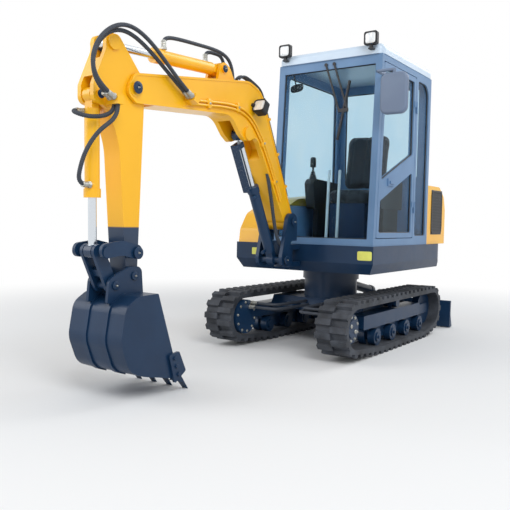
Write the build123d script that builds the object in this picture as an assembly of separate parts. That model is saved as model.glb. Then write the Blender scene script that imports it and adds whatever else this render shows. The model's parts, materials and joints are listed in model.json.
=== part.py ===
from build123d import *
import math
import os

# Frame: +X forward along the boom, +Y to the door side, +Z up, in millimetres.
# The origin is on the ground under the slew axis.

# How far a cutting tool reaches past the face that it cuts
cut_over = 10

# Tracks and their wheels
track_centre = 525
shoe_width = 260
belt_thickness = 35
lug_height = 25
lug_count = 46
lug_base = 62
lug_top = 44
sprocket_x = 785
idler_x = -870
wheel_radius = 155
wheel_lift = 40
wheel_z = belt_thickness + lug_height + wheel_lift + wheel_radius
roller_radius = 70
roller_z = belt_thickness + lug_height + roller_radius
roller_count = 4
roller_pitch = 320
roller_front = 300
roller_x = [roller_front - i * roller_pitch for i in range(roller_count)]
roller_web = 30
roller_width = 60
roller_hub = 38
hub_step = 10
carrier_x = -150
carrier_radius = 40
carrier_half = 60
carrier_post = 28
wheel_gap = 0.4
idler_half = 30
idler_hub = 34

# Drives at the front of the tracks
tooth_total = 17
sprocket_root = 136
sprocket_half = 22
tooth_root = 34
tooth_tip = 16
hub_radius = 112
hub_depth = 56
hub_cap_radius = 70
motor_radius = 142
motor_depth = 128
motor_mount = 30
motor_mount_y = -90

# Track frames and the body between them
beam_width = 140
beam_bottom = wheel_z - 40
beam_top = wheel_z + 70
beam_front = sprocket_x - 225
beam_rear = roller_x[-1]
beam_round = 12
web_margin = 60
web_foot = 25
fork_plate = 12
fork_half = 45
fork_reach = 60
carbody_half_length = 300
carbody_bottom = beam_bottom + 75
carbody_top = carbody_bottom + 105
carbody_slope = 60
pedestal_radius = 235
ring_radius = 250
ring_height = 90
seat_gap = 0.3
lashing_bore = 22
lashing_y = 200
lashing_plate = 24
lashing_reach = 75
lashing_half = 42

# Upper structure
deck_front = 555
deck_rear = -800
tail_rear = -1170
deck_half = 655
deck_bottom = 650
skirt_chamfer = 85
skirt_height = 140
deck_break = deck_bottom + skirt_chamfer
deck_top = deck_break + skirt_height
deck_inset = 45
tail_radius = 260
ring_bottom = deck_bottom - ring_height

# Blade at the rear of the undercarriage
blade_pivot = (-carbody_half_length - 120, carbody_bottom + 40)
blade_x = -1400
blade_width = 1300
blade_bottom = 8
blade_height = 270
blade_plate = 16
blade_sweep = 70
blade_top_depth = 30
blade_arm_y = 300
blade_arm_width = 50
blade_arm_half = 38
blade_beam = 60
blade_lug = (blade_x + 250, blade_bottom + 322)
blade_cylinder_foot = (-pedestal_radius - 95, ring_bottom - 70)
cheek_plate = 20
cheek_gap = 6
lug_plate = 16

# Cab
cab_left_y = deck_half - 10
cab_right_y = -300
cab_front_low = deck_front - 10
cab_front_high = cab_front_low - 90
cab_rear_x = -650
cab_floor = deck_top
cab_head = cab_floor + 1510
roof_height = 85
roof_top = cab_head + roof_height
roof_lip = 15
roof_margin = 5
roof_corner = 60
roof_edge = 45
cab_wall = 45
door_rear_x = -285
door_gap = 6
door_sill = cab_floor + 60
door_head = cab_head - 50
door_margin = 42
door_round = 22
band_front_x = 341
band_top_front = cab_floor + 553
band_depth = 155
band_rise = 0.405
glass = 6
glass_set_back = 16
pane_margin = 55
pane_head = 75
window_round = 60
hinge_stand_off = 8
hinge_y = cab_left_y + hinge_stand_off
hinge_radius = 7
hinge_length = 50
hinge_leaf = 7
hinge_heights = (cab_floor + 305, cab_head - 335)
handle_x = 240
handle_half = 60
handle_depth = 22

# On the cab
lamp_width = 112
lamp_height = 105
lamp_depth = 45
lamp_round = 18
lamp_stem = 20
mirror_width = 215
mirror_height = 310
mirror_depth = 38
mirror_round = 55
mirror_reach = 160
mirror_low = cab_head - 505
mirror_tube = 11
wiper_pivots = (150, 225)
wiper_arm = 410
wiper_blade = 480
wiper_lean = 20
wiper_thickness = 10
wiper_width = 14

# Inside the cab
seat_y = (cab_left_y + cab_right_y) / 2
seat_half = 230
seat_rear = -330
seat_front = 120
seat_low = cab_floor + 355
seat_depth = 110
seat_back_height = 550
seat_back_lean = 100
seat_round = 30
stand_half = 170
console_width = 90
console_gap = 40
console_round = 20
console_low = cab_floor + 305
console_high = cab_floor + 550
lever_height = 140
knob_height = 90
knob_radius = 26
stem_radius = 9
travel_lever_pitch = 100
travel_lever_width = 18
travel_lever_top = cab_floor + 625
pedal_half = 34
pedal_height = 40

# Engine bay and side cover
bay_height = 545
bay_top = deck_top + bay_height
bay_half = deck_half - 15
bay_wall = 25
bay_gap = 5
bay_inset = 10
bay_slope = 180
grille_slots = 9
grille_pitch = 44
grille_slot = 28
grille_low = deck_top + 105
grille_front = -760
grille_rear = -1060
grille_depth = 15
cover_gap = 10
cover_inner_y = cab_right_y - cover_gap
cover_height = 455
hood_pivot = (cab_rear_x - 22, bay_top + 14)
hood_split = 55
hood_knuckle = 9
hood_leaf = 8
hood_hinge_y = (-260, 260)
hood_hinge_width = 60
engine_margin = 90

# Boom swing and boom
boom_plane = -80
swing_x = deck_front + 135
swing_pin = 30
bracket_half = 75
bracket_plate = 40
bracket_low = deck_bottom + 40
bracket_high = deck_top - 45
foot_x = swing_x + 70
foot_z = deck_top + 182
post_face = 24
post_plate = 22
post_half = 70
post_ear = 68
boom_angle = 23.65
boom_length = 1887
boom_width = 180
boom_boss = 66
fork_gap = 140
fork_depth = 190
ear_thickness = 30
ear_gap = 190
pin_radius = 25
pin_play = 0.05
pin_cap = 14
boom_lift_pin = (798, 338)
boom_lift_foot = (103, -303)
boom_crest_rear = (boom_lift_pin[0] - 28, 705)
boom_crest = (boom_lift_pin[0] + 142, 690)
boom_tip_top = (boom_length + 45, 72)
boom_belly = (boom_lift_pin[0] + 232, boom_lift_pin[1] + 17)
boom_tip_low = (boom_length - 40, -78)
boom_radii = [50, 170, 200, 50, 40, 40, 160, 40, 40, 60, 40]
lift_boss = 48
# The arm cylinder's pin stands this share of the way down the boom's top edge and this far above it
arm_pin_share = 0.267
arm_pin_rise = 87
arm_cylinder_pin = (boom_crest[0] + arm_pin_share * (boom_tip_top[0] - boom_crest[0]),
                    boom_crest[1] + arm_pin_share * (boom_tip_top[1] - boom_crest[1]) + arm_pin_rise)
flange_depth = 4
flange_width = 14

# Arm, with its own axis running down from the boom's tip
arm_angle = -90
arm_length = 1095
arm_width = 130
arm_head_pin = (-227, 157)
bucket_cylinder_pin = (76, 253)
rocker_pin = (arm_length - 137, 11)

# Bucket linkage, from the bucket pin
rod_pin = (241, 147)
link_pin = (149, -47)
link_plate = 22
eye_width = 60
slot_width = 74
side_gap = 5
bucket_ear_inner = arm_width / 2 + side_gap
bucket_ear = 20
bucket_cap = 5
rocker_inner = bucket_ear_inner + bucket_ear + bucket_cap + side_gap
rocker_boss = 34
rocker_arch = 26
push_inner = 36

# Bucket, from its pin
bucket_width = 440
bucket_wall = 14
bucket_mouth = (-70, -100)
bucket_lip = (-262, -640)
bucket_radii = [10, 60, 90, 150, 120, 60, 0]
cavity_radii = [0, 50, 80, 140, 110, 50, 0]
ear_radii = [30, 40, 50, 45, 10, 8]
ear_foot = 50
tooth_count = 4
tooth_width = 46
tooth_reach = 137
tooth_angle = -136
rib_width = 34
rib_height = 8
rib_y = (-80, 80)
cutter_plate = 16
cutter_length = 190
cutter_round = 12

# Hydraulic cylinders
barrel_radius = 42
gland_radius = 48
gland_length = 50
rod_radius = 24
rod_play = 0.05
barrel_start = 75
bore_start = 112
barrel_eye = 44
rod_eye = 42
port_radius = 13
port_height = 25
port_inset = 20
port_y = 26
boom_barrel_share = 0.607
arm_barrel_share = 0.622
bucket_barrel_share = 0.653
blade_barrel_share = 0.67
# How far each rod is drawn in from the pose of the model
boom_draw_in = 282
arm_draw_in = 326
bucket_draw_in = 130
blade_draw_in = 48
lift_slot = 2 * (gland_radius + side_gap)
guard_gap = 12
guard_plate = 6
guard_length = 430
guard_end = 55
guard_clamp = 40
guard_half = 32

# Hoses
hose_radius = 12
hose_bend = 90
hose_pitch = 30
hose_stand_off = 24
fitting_half = 24
fitting_share = 0.535
fitting_rise = 67
boom_fitting = (boom_belly[0] + fitting_share * (boom_tip_low[0] - boom_belly[0]),
                boom_belly[1] + fitting_share * (boom_tip_low[1] - boom_belly[1]) + fitting_rise)
arm_fitting = (bucket_cylinder_pin[0] + 30, bucket_cylinder_pin[1] - 60)
belly_fitting = (430, 210)
belly_bend = (235, 150)
lift_hose_y = 74


def side_face(points, radii=0):
    """A face in the machine's side view from (x, z) points, with rounded corners."""
    return Plane.XZ * make_face(FilletPolyline(*points, radius=radii, close=True))


def side_solid(points, y_low, y_high, radii=0):
    """A side view outline given its width between two planes across the machine."""
    slab = extrude(side_face(points, radii), (y_high - y_low) / 2, both=True)
    return Pos(0, (y_high + y_low) / 2, 0) * slab


def block(x_low, x_high, y_low, y_high, z_low, z_high):
    """A box given by its limits."""
    centre = Pos((x_low + x_high) / 2, (y_low + y_high) / 2, (z_low + z_high) / 2)
    return centre * Box(x_high - x_low, y_high - y_low, z_high - z_low)


def pin_across(point, radius, y_low, y_high):
    """A round pin or bore across the machine at a side view point."""
    x, z = point
    return Pos(x, (y_low + y_high) / 2, z) * Rot(90, 0, 0) * Cylinder(radius, y_high - y_low)


def turn(point, angle):
    """A side view vector turned by an angle, counted from forward to up."""
    c = math.cos(math.radians(angle))
    s = math.sin(math.radians(angle))
    return (point[0] * c - point[1] * s, point[0] * s + point[1] * c)


def add(a, b):
    return (a[0] + b[0], a[1] + b[1])


def heading(start, end):
    """Length and angle of the line between two side view points."""
    dx = end[0] - start[0]
    dz = end[1] - start[1]
    return math.hypot(dx, dz), math.degrees(math.atan2(dz, dx))


def placed(solid, point, angle, plane=boom_plane):
    """A piece modelled about its own pin, put at that pin and turned."""
    return Pos(point[0], plane, point[1]) * Rot(0, -angle, 0) * solid


def pair(sign, inner, outer):
    """Limits of a plate on one side of a middle plane, in rising order."""
    return sorted((sign * inner, sign * outer))


# Pins of the digging gear at rest, in the side view
foot = (foot_x, foot_z)
arm_root = add(foot, turn((boom_length, 0), boom_angle))
lift_top = add(foot, turn(boom_lift_pin, boom_angle))
lift_foot = add(foot, boom_lift_foot)
arm_cyl_root = add(foot, turn(arm_cylinder_pin, boom_angle))
arm_cyl_end = add(arm_root, turn(arm_head_pin, arm_angle))
bucket_cyl_root = add(arm_root, turn(bucket_cylinder_pin, arm_angle))
bucket_root = add(arm_root, turn((arm_length, 0), arm_angle))
rocker_root = add(arm_root, turn(rocker_pin, arm_angle))
rod_end = add(bucket_root, rod_pin)
link_root = add(bucket_root, link_pin)


# Tracks

def belt_wheels(grow):
    """Circles that the belt runs round, counter-clockwise from the sprocket."""
    return [
        ((sprocket_x, wheel_z), wheel_radius + grow),
        ((idler_x, wheel_z), wheel_radius + grow),
        ((roller_x[-1], roller_z), roller_radius + grow),
        ((roller_x[0], roller_z), roller_radius + grow),
    ]


def belt_wire(grow):
    """The belt's line at a distance from its wheels: tangent runs joined by arcs."""
    wheels = belt_wheels(grow)
    normals = []
    for i, (centre, radius) in enumerate(wheels):
        nxt, nxt_radius = wheels[(i + 1) % len(wheels)]
        length, angle = heading(centre, nxt)
        normals.append(angle - 90 + math.degrees(math.asin((radius - nxt_radius) / length)))
    edges = []
    for i, (centre, radius) in enumerate(wheels):
        start = add(centre, turn((radius, 0), normals[i - 1]))
        end = add(centre, turn((radius, 0), normals[i]))
        sweep_angle = (normals[i] - normals[i - 1]) % 360
        middle = add(centre, turn((radius, 0), normals[i - 1] + sweep_angle / 2))
        nxt, nxt_radius = wheels[(i + 1) % len(wheels)]
        edges.append(ThreePointArc(start, middle, end).edge())
        edges.append(Line(end, add(nxt, turn((nxt_radius, 0), normals[i]))).edge())
    return Wire(edges)


def track_half(shift):
    """Side view of the belt with its lugs, shifted along the belt by a share of the pitch."""
    outer = belt_wire(belt_thickness)
    ring = make_face(outer) - make_face(belt_wire(0))
    lugs = []
    for i in range(lug_count):
        share = ((i + shift) / lug_count) % 1
        spot = outer.position_at(share)
        along = outer.tangent_at(share)
        angle = math.degrees(math.atan2(along.Y, along.X))
        shape = Polyline(
            (-lug_base / 2, belt_thickness / 2),
            (-lug_top / 2, -lug_height),
            (lug_top / 2, -lug_height),
            (lug_base / 2, belt_thickness / 2),
            close=True,
        )
        lugs.append(Pos(spot.X, spot.Y) * Rot(0, 0, angle) * make_face(shape))
    return ring + lugs


def track(side):
    """One rubber track: two rows of lugs, half a pitch apart."""
    half = shoe_width / 2
    rows = []
    for sign, shift in ((1, 0), (-1, 0.5)):
        row = extrude(Plane.XZ * track_half(shift), half / 2, both=True)
        rows.append(Pos(0, track_centre + sign * half / 2, 0) * row)
    return mirrored([rows[0] + rows[1]], side)[0]


def mirrored(solids, side):
    return [s if side > 0 else mirror(s, Plane.XZ) for s in solids]


def at_track(y):
    return track_centre + y


def track_frame(side):
    """Beam inside a track, with the web that carries the rollers and the idler's fork."""
    half = beam_width / 2
    beam = side_solid(
        [(beam_front, beam_bottom), (beam_front, beam_top), (beam_rear, beam_top), (beam_rear, beam_bottom)],
        at_track(-half), at_track(half), beam_round)
    web = side_solid(
        [(roller_x[0] + web_margin, beam_bottom), (roller_x[-1] - web_margin, beam_bottom),
         (roller_x[-1] - web_foot, roller_z - web_foot), (roller_x[0] + web_foot, roller_z - web_foot)],
        at_track(-roller_web / 2), at_track(roller_web / 2))
    frame = beam + web
    for sign in (-1, 1):
        y_low, y_high = pair(sign, idler_half + 2 * side_gap, idler_half + 2 * side_gap + fork_plate)
        frame += side_solid(
            [(beam_rear + fork_reach, wheel_z - fork_half), (beam_rear + fork_reach, wheel_z + fork_half),
             (idler_x - fork_half, wheel_z + fork_half), (idler_x - fork_half, wheel_z - fork_half)],
            at_track(y_low), at_track(y_high), [0, 0, fork_half - 1, fork_half - 1])
    half_post = carrier_post / 2
    frame += block(carrier_x - carrier_radius, carrier_x + carrier_radius, at_track(-half_post),
                   at_track(half_post), beam_top - beam_round, top_run_z() - carrier_radius + half_post)
    return mirrored([frame], side)[0]


def top_run_z():
    """Height of the belt's inner face along its top run."""
    return wheel_z + wheel_radius


def rollers(side):
    """Bottom rollers on both sides of the web, the carrier roller and the idler."""
    out = []
    for sign in (1, -1):
        inner = roller_web / 2
        outer = inner + roller_width
        for x in roller_x:
            rim = map(at_track, pair(sign, inner, outer))
            wheel = pin_across((x, roller_z), roller_radius - wheel_gap, *rim)
            hub = pin_across((x, roller_z), roller_hub, *map(at_track, pair(sign, outer, outer + hub_step)))
            out.append(wheel + hub)
        carrier_z = top_run_z() - carrier_radius - wheel_gap
        limits = map(at_track, pair(sign, carrier_post / 2, carrier_half))
        out.append(pin_across((carrier_x, carrier_z), carrier_radius, *limits))
    idler = pin_across((idler_x, wheel_z), wheel_radius - wheel_gap, at_track(-idler_half),
                       at_track(idler_half))
    hub_half = idler_half + 2 * side_gap
    idler += pin_across((idler_x, wheel_z), idler_hub, at_track(-hub_half), at_track(hub_half))
    out.append(idler)
    return Compound(mirrored(out, side))


def sprocket_face():
    """Side view of the sprocket: a root circle with its teeth."""
    face = Circle(sprocket_root)
    reach = wheel_radius - wheel_gap
    tooth = Polyline((sprocket_root - tooth_root / 2, -tooth_root / 2), (reach, -tooth_tip / 2),
                     (reach, tooth_tip / 2), (sprocket_root - tooth_root / 2, tooth_root / 2), close=True)
    for i in range(tooth_total):
        face += Rot(0, 0, i * 360 / tooth_total) * make_face(tooth)
    return face


def drive(side):
    """Sprocket with the travel motor: a toothed disc, its stepped hub and the round motor cover."""
    centre = (sprocket_x, wheel_z)
    disc = extrude(Plane.XZ * sprocket_face(), sprocket_half, both=True)
    body = Pos(sprocket_x, track_centre, wheel_z) * disc
    hub_end = sprocket_half + hub_depth
    body += pin_across(centre, hub_radius, at_track(sprocket_half), at_track(hub_end))
    body += pin_across(centre, hub_cap_radius, at_track(hub_end), at_track(hub_end + hub_step))
    body += pin_across(centre, motor_radius, at_track(-sprocket_half - motor_depth), at_track(-sprocket_half))
    body += block(beam_front, sprocket_x, at_track(motor_mount_y), at_track(motor_mount_y + motor_mount),
                  wheel_z - motor_radius / 3, wheel_z + motor_radius / 3)
    return mirrored([body], side)[0]


def carbody():
    """Cross beams between the track frames, the round pedestal, the blade's hinges and lashing eyes."""
    reach = track_centre - beam_width / 2
    top_half = carbody_half_length - carbody_slope
    body = side_solid(
        [(-carbody_half_length, carbody_bottom), (carbody_half_length, carbody_bottom),
         (top_half, carbody_top), (-top_half, carbody_top)],
        -reach, reach)
    low = (carbody_top + carbody_bottom) / 2
    body += Pos(0, 0, (low + ring_bottom) / 2) * Cylinder(pedestal_radius, ring_bottom - low)
    cheek_offset = blade_arm_width / 2 + cheek_gap
    pivot_x, pivot_z = blade_pivot
    root_x = -carbody_half_length + carbody_slope * 2 / 3
    for y in (-blade_arm_y, blade_arm_y):
        for sign in (-1, 1):
            y_low, y_high = pair(sign, cheek_offset, cheek_offset + cheek_plate)
            body += side_solid(
                [(root_x, carbody_bottom + cheek_gap), (root_x, carbody_top + pin_radius),
                 (pivot_x - 2 * pin_radius, pivot_z + 2 * pin_radius),
                 (pivot_x - 2 * pin_radius, pivot_z - 2 * pin_radius)],
                y + y_low, y + y_high, [0, 0, 40, 40])
        pin_half = cheek_offset + cheek_plate
        body += pin_across(blade_pivot, pin_radius, y - pin_half, y + pin_half)
    foot_x_low, foot_z_mid = blade_cylinder_foot
    for sign in (-1, 1):
        y_low, y_high = pair(sign, eye_width / 2, eye_width / 2 + lug_plate)
        body += side_solid(
            [(-pedestal_radius + barrel_eye, foot_z_mid - barrel_start),
             (-pedestal_radius + barrel_eye, foot_z_mid + ring_height - cut_over * 2),
             (foot_x_low - rod_eye, foot_z_mid + barrel_eye),
             (foot_x_low - rod_eye, foot_z_mid - barrel_eye)],
            y_low, y_high, [0, 0, 38, 38])
    pin_half = eye_width / 2 + lug_plate
    body += pin_across(blade_cylinder_foot, pin_radius, -pin_half, pin_half)
    for sign in (-1, 1):
        eye = Pos(carbody_half_length - carbody_slope + lashing_reach, sign * lashing_y, lashing_z()) * Box(
            2 * lashing_reach, 2 * lashing_half, lashing_plate)
        eye = fillet(eye.edges().filter_by(Axis.Z).sort_by(Axis.X)[-2:], lashing_half - 1)
        bore = Cylinder(lashing_bore, 2 * lashing_plate)
        body += eye - Pos(lashing_x(), sign * lashing_y, lashing_z()) * bore
    return body


def lashing_x():
    """Place of the lashing bores ahead of the car body."""
    return carbody_half_length - carbody_slope + 2 * lashing_reach - lashing_half


def lashing_z():
    return (carbody_bottom + carbody_top) / 2


def slew_ring():
    """Bearing ring between the pedestal and the deck."""
    top = deck_bottom - seat_gap
    return Pos(0, 0, (ring_bottom + top) / 2) * Cylinder(ring_radius, top - ring_bottom)


def blade():
    """Blade with its turned-out cutting edge, two push arms, a cross beam and the cylinder's lugs."""
    half = blade_width / 2
    top = blade_bottom + blade_height
    plate = side_solid(
        [(blade_x, blade_bottom), (blade_x - blade_sweep, blade_bottom),
         (blade_x - blade_sweep + blade_plate, blade_bottom + blade_height / 6),
         (blade_x - blade_top_depth * 0.7, blade_bottom + blade_height / 2),
         (blade_x - blade_top_depth, top), (blade_x, top)],
        -half, half, [0, 0, 20, 200, 0, 0])
    pivot_x, pivot_z = blade_pivot
    knee_x = (pivot_x + blade_x) / 2
    end_x = blade_x - blade_plate / 4
    end_z = blade_bottom + blade_height / 2
    arm_half = blade_arm_half
    for y in (-blade_arm_y, blade_arm_y):
        arm = side_solid(
            [(pivot_x + arm_half, pivot_z + arm_half), (pivot_x + arm_half, pivot_z - arm_half),
             (knee_x, pivot_z - 3.6 * arm_half), (end_x, end_z - arm_half), (end_x, end_z + 2.2 * arm_half),
             (knee_x, pivot_z - 0.8 * arm_half)],
            y - blade_arm_width / 2, y + blade_arm_width / 2, [36, 36, 60, 0, 0, 60])
        arm -= pin_across(blade_pivot, pin_radius + pin_play, y - blade_arm_width, y + blade_arm_width)
        plate += arm
    lug_x, lug_z = blade_lug
    plate += block(lug_x + 20, lug_x + 20 + blade_beam, -blade_arm_y, blade_arm_y,
                   lug_z - 2 * blade_beam, lug_z - blade_beam)
    for sign in (-1, 1):
        y_low, y_high = pair(sign, slot_width / 2, slot_width / 2 + lug_plate)
        plate += side_solid(
            [(lug_x + 1.5 * blade_beam, lug_z - 1.75 * blade_beam), (lug_x + 50, lug_z + 35),
             (lug_x - 35, lug_z + 35), (lug_x - 35, lug_z - 1.75 * blade_beam)],
            y_low, y_high, [0, 36, 34, 0])
    return plate


# Hydraulic cylinders, modelled along +X from the barrel's eye

def barrel(length, port_side=1):
    """Barrel with its eye, gland and two ports, which stand on the upper or lower side."""
    along = Rot(0, 90, 0)
    body = Pos((barrel_start + length) / 2, 0, 0) * along * Cylinder(barrel_radius, length - barrel_start)
    body += Pos(length - gland_length / 2, 0, 0) * along * Cylinder(gland_radius, gland_length)
    body += pin_across((0, 0), barrel_eye, -eye_width / 2, eye_width / 2)
    body += block(0, barrel_start + port_inset, -eye_width / 2, eye_width / 2, -port_y, port_y)
    tall = barrel_radius + port_height
    for spot, y in port_spots(length):
        body += Pos(spot, y, port_side * tall / 2) * Cylinder(port_radius, tall)
    body -= pin_across((0, 0), pin_radius + pin_play, -eye_width, eye_width)
    bore = length - bore_start + cut_over
    return body - Pos(bore_start + bore / 2, 0, 0) * along * Cylinder(rod_radius + rod_play, bore)


def port_spots(length):
    """Places of the two ports along and across a barrel, clear of each other's hose."""
    return [(barrel_start + port_inset, -port_y), (length - gland_length - port_inset, port_y)]


def rod(pin_to_pin, draw_in):
    """Chrome rod with its eye, which starts far enough from the barrel's end to be drawn in."""
    start = bore_start + draw_in + side_gap
    end = pin_to_pin - pin_radius - side_gap
    shaft = Pos((start + end) / 2, 0, 0) * Rot(0, 90, 0) * Cylinder(rod_radius, end - start)
    eye = pin_across((pin_to_pin, 0), rod_eye, -eye_width / 2, eye_width / 2)
    return shaft + eye - pin_across((pin_to_pin, 0), pin_radius, -eye_width, eye_width)


def rod_guard(pin_to_pin):
    """Folded shield over the rod, clamped to it below the eye and running ahead of the barrel."""
    near = -barrel_radius - port_height - guard_gap
    start = pin_to_pin - guard_length
    end = pin_to_pin - guard_end
    shield = block(start, end, -guard_half, guard_half, near - guard_plate, near)
    for sign in (-1, 1):
        lip = pair(sign, guard_half - guard_plate, guard_half)
        shield += block(start, end, *lip, near - guard_plate, near + guard_gap / 2)
    half = eye_width / 2
    return shield + block(end - guard_clamp, end, -half, half, near - guard_plate, 0)


# Upper structure

def deck_shell(x_low, x_high):
    """Deck block between two planes: upright skirt with a chamfer below its break."""
    half = deck_half
    section = [(-half, deck_top), (half, deck_top), (half, deck_break), (half - deck_inset, deck_bottom),
               (-half + deck_inset, deck_bottom), (-half, deck_break)]
    face = Plane.YZ * make_face(Polyline(*section, close=True))
    return Pos(x_low, 0, 0) * extrude(face, x_high - x_low)


def front_chamfer():
    """Wedge under the deck's front edge."""
    front = deck_front + cut_over
    share = cut_over / deck_inset * skirt_chamfer
    return side_solid(
        [(front, deck_break + share), (deck_front - deck_inset, deck_bottom),
         (deck_front - deck_inset, deck_bottom - cut_over), (front, deck_bottom - cut_over)],
        -deck_half - cut_over, deck_half + cut_over)


def deck():
    """Deck with its chamfered skirt and the bracket that carries the boom's swing pin."""
    body = deck_shell(deck_rear, deck_front) - front_chamfer()
    for z in (bracket_low, bracket_high):
        tongue = block(deck_front - deck_inset, swing_x, boom_plane - bracket_half, boom_plane + bracket_half,
                       z, z + bracket_plate)
        end = Cylinder(bracket_half, bracket_plate)
        body += tongue + Pos(swing_x, boom_plane, z + bracket_plate / 2) * end
    high = bracket_high + bracket_plate
    return body + Pos(swing_x, boom_plane, (bracket_low + high) / 2) * Cylinder(swing_pin, high - bracket_low)


def tail():
    """Counterweight: the rear of the skirt with rounded corners."""
    body = deck_shell(tail_rear, deck_rear)
    corners = body.edges().filter_by(Axis.Z).sort_by(Axis.X)[:2]
    return fillet(corners, tail_radius)


def cab_front_x(z):
    """Front face of the cab at a height: the windscreen leans back."""
    share = (z - cab_floor) / (cab_head - cab_floor)
    return cab_front_low + (cab_front_high - cab_front_low) * share


def raked(set_back, depth, z_low, z_high, y_low, y_high):
    """A slab that follows the leaning front of the cab."""
    front_low = cab_front_x(z_low) - set_back
    front_high = cab_front_x(z_high) - set_back
    return side_solid(
        [(front_low, z_low), (front_high, z_high), (front_high - depth, z_high), (front_low - depth, z_low)],
        y_low, y_high)


front_pane = (cab_floor + pane_margin, cab_head - pane_head,
              cab_right_y + pane_margin, cab_left_y - pane_margin)


def cab_front():
    """Front frame with its two posts round the windscreen."""
    frame = raked(0, cab_wall, cab_floor, cab_head, cab_right_y, cab_left_y)
    return frame - raked(-cut_over, cab_wall + 2 * cut_over, *front_pane)


def windscreen():
    return raked(glass_set_back, glass, *front_pane)


def wiper():
    """Two parallel wiper arms from the header, with one blade on the windscreen."""
    lean = math.degrees(math.atan2(cab_front_low - cab_front_high, cab_head - cab_floor))
    pivot_z = cab_head - pane_head / 2
    flat = Plane(origin=(cab_front_x(pivot_z), 0, pivot_z), x_dir=(0, 1, 0),
                 z_dir=(math.cos(math.radians(lean)), 0, math.sin(math.radians(lean))))
    piece = None
    for y in wiper_pivots:
        boss = Pos(y, 0, wiper_thickness / 2) * Cylinder(wiper_width, wiper_thickness)
        arm = Pos(y, 0, wiper_thickness / 2) * Rot(0, 0, wiper_lean) * Pos(0, -wiper_arm / 2, 0) * Box(
            wiper_width, wiper_arm, wiper_thickness)
        piece = boss + arm if piece is None else piece + boss + arm
    end_y = sum(wiper_pivots) / 2 + wiper_arm * math.sin(math.radians(wiper_lean))
    end_drop = wiper_arm * math.cos(math.radians(wiper_lean))
    piece += Pos(end_y, -end_drop, wiper_thickness / 2) * Box(
        wiper_pivots[1] - wiper_pivots[0] + wiper_width, 2 * wiper_width, wiper_thickness)
    blade_depth = wiper_thickness + glass_set_back - 1
    blade_bar = Pos(end_y, -end_drop, wiper_thickness - blade_depth / 2) * Rot(0, 0, -wiper_lean / 2) * Box(
        wiper_width, wiper_blade, blade_depth)
    return flat * (piece + blade_bar)


def cab_side_outline():
    """Side view of a cab wall behind the front frame."""
    return [(cab_rear_x, cab_floor), (cab_front_x(cab_floor) - cab_wall, cab_floor),
            (cab_front_x(cab_head) - cab_wall, cab_head), (cab_rear_x, cab_head)]


def right_pane_outline():
    low = bay_top - 4 * pane_margin
    high = cab_head - pane_head
    inset = cab_wall + pane_margin
    rear = cab_rear_x + 2 * pane_margin
    return [(rear, low), (cab_front_x(low) - inset, low), (cab_front_x(high) - inset, high), (rear, high)]


def cab_right():
    """Right-hand wall with its window."""
    wall = side_solid(cab_side_outline(), cab_right_y, cab_right_y + cab_wall)
    opening = side_solid(right_pane_outline(), cab_right_y - cut_over, cab_right_y + cab_wall + cut_over,
                         window_round)
    return wall - opening


def right_pane():
    outer = cab_right_y + glass_set_back
    return side_solid(right_pane_outline(), outer, outer + glass, window_round)


rear_pane_limits = (cab_right_y + cab_wall + pane_margin, cab_left_y - cab_wall - pane_margin,
                    bay_top + pane_head, cab_head - pane_head)


def cab_rear():
    """Rear wall with its window."""
    wall = block(cab_rear_x, cab_rear_x + cab_wall, cab_right_y + cab_wall, cab_left_y - cab_wall,
                 cab_floor, cab_head)
    return wall - block(cab_rear_x - cut_over, cab_rear_x + cab_wall + cut_over, *rear_pane_limits)


def rear_pane():
    outer = cab_rear_x + glass_set_back
    return block(outer, outer + glass, *rear_pane_limits)


quarter_outline = [(cab_rear_x + pane_margin, door_sill + door_margin / 2),
                   (door_rear_x - cab_wall, door_sill + door_margin / 2),
                   (door_rear_x - cab_wall, door_head - door_margin / 2),
                   (cab_rear_x + pane_margin, door_head - door_margin / 2)]
quarter_radii = [door_round, door_round, door_round, 2 * window_round]


def door_outline(gap):
    """Side view of the door way, drawn in by a gap all round."""
    low = door_sill + gap
    high = door_head - gap
    return [(door_rear_x + gap, low), (cab_front_x(low) - cab_wall - gap, low),
            (cab_front_x(high) - cab_wall - gap, high), (door_rear_x + gap, high)]


def hinge_half(z, x_low, x_high):
    """One knuckle of a door hinge with its leaf, centred at a height."""
    knuckle = Pos(door_rear_x, hinge_y, z) * Cylinder(hinge_radius, hinge_length)
    return knuckle + block(x_low, x_high, cab_left_y, cab_left_y + hinge_leaf, z - hinge_length / 2,
                           z + hinge_length / 2)


def cab_left():
    """Left wall: rear quarter with its window, header and sill round the door way."""
    y_low = cab_left_y - cab_wall
    wall = side_solid(cab_side_outline(), y_low, cab_left_y)
    wall -= block(door_rear_x, cab_front_low + cut_over, y_low - cut_over, cab_left_y + cut_over,
                  door_sill, door_head)
    wall -= side_solid(quarter_outline, y_low - cut_over, cab_left_y + cut_over, quarter_radii)
    for z in hinge_heights:
        wall += hinge_half(z, door_rear_x - 4 * hinge_radius, door_rear_x)
    return wall


def quarter_pane():
    y_high = cab_left_y - glass_set_back
    return side_solid(quarter_outline, y_high - glass, y_high, quarter_radii)


def band_top(x):
    """Upper edge of the slanted band across the door."""
    return band_top_front + (band_front_x - x) * band_rise


def door_pane_outlines():
    """The door's two panes, above and below its slanted band."""
    rear = door_rear_x + door_gap + door_margin
    high = door_head - door_gap - door_margin
    low = door_sill + door_gap + door_margin
    front_inset = cab_wall + door_gap + door_margin
    front = cab_front_x(band_top_front) - front_inset
    front_low = cab_front_x(band_top_front - band_depth) - front_inset
    upper = [(rear, band_top(rear)), (front, band_top(front)),
             (cab_front_x(high) - front_inset, high), (rear, high)]
    lower = [(rear, low), (cab_front_x(low) - front_inset, low),
             (front_low, band_top(front_low) - band_depth), (rear, band_top(rear) - band_depth)]
    return upper, lower


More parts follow.
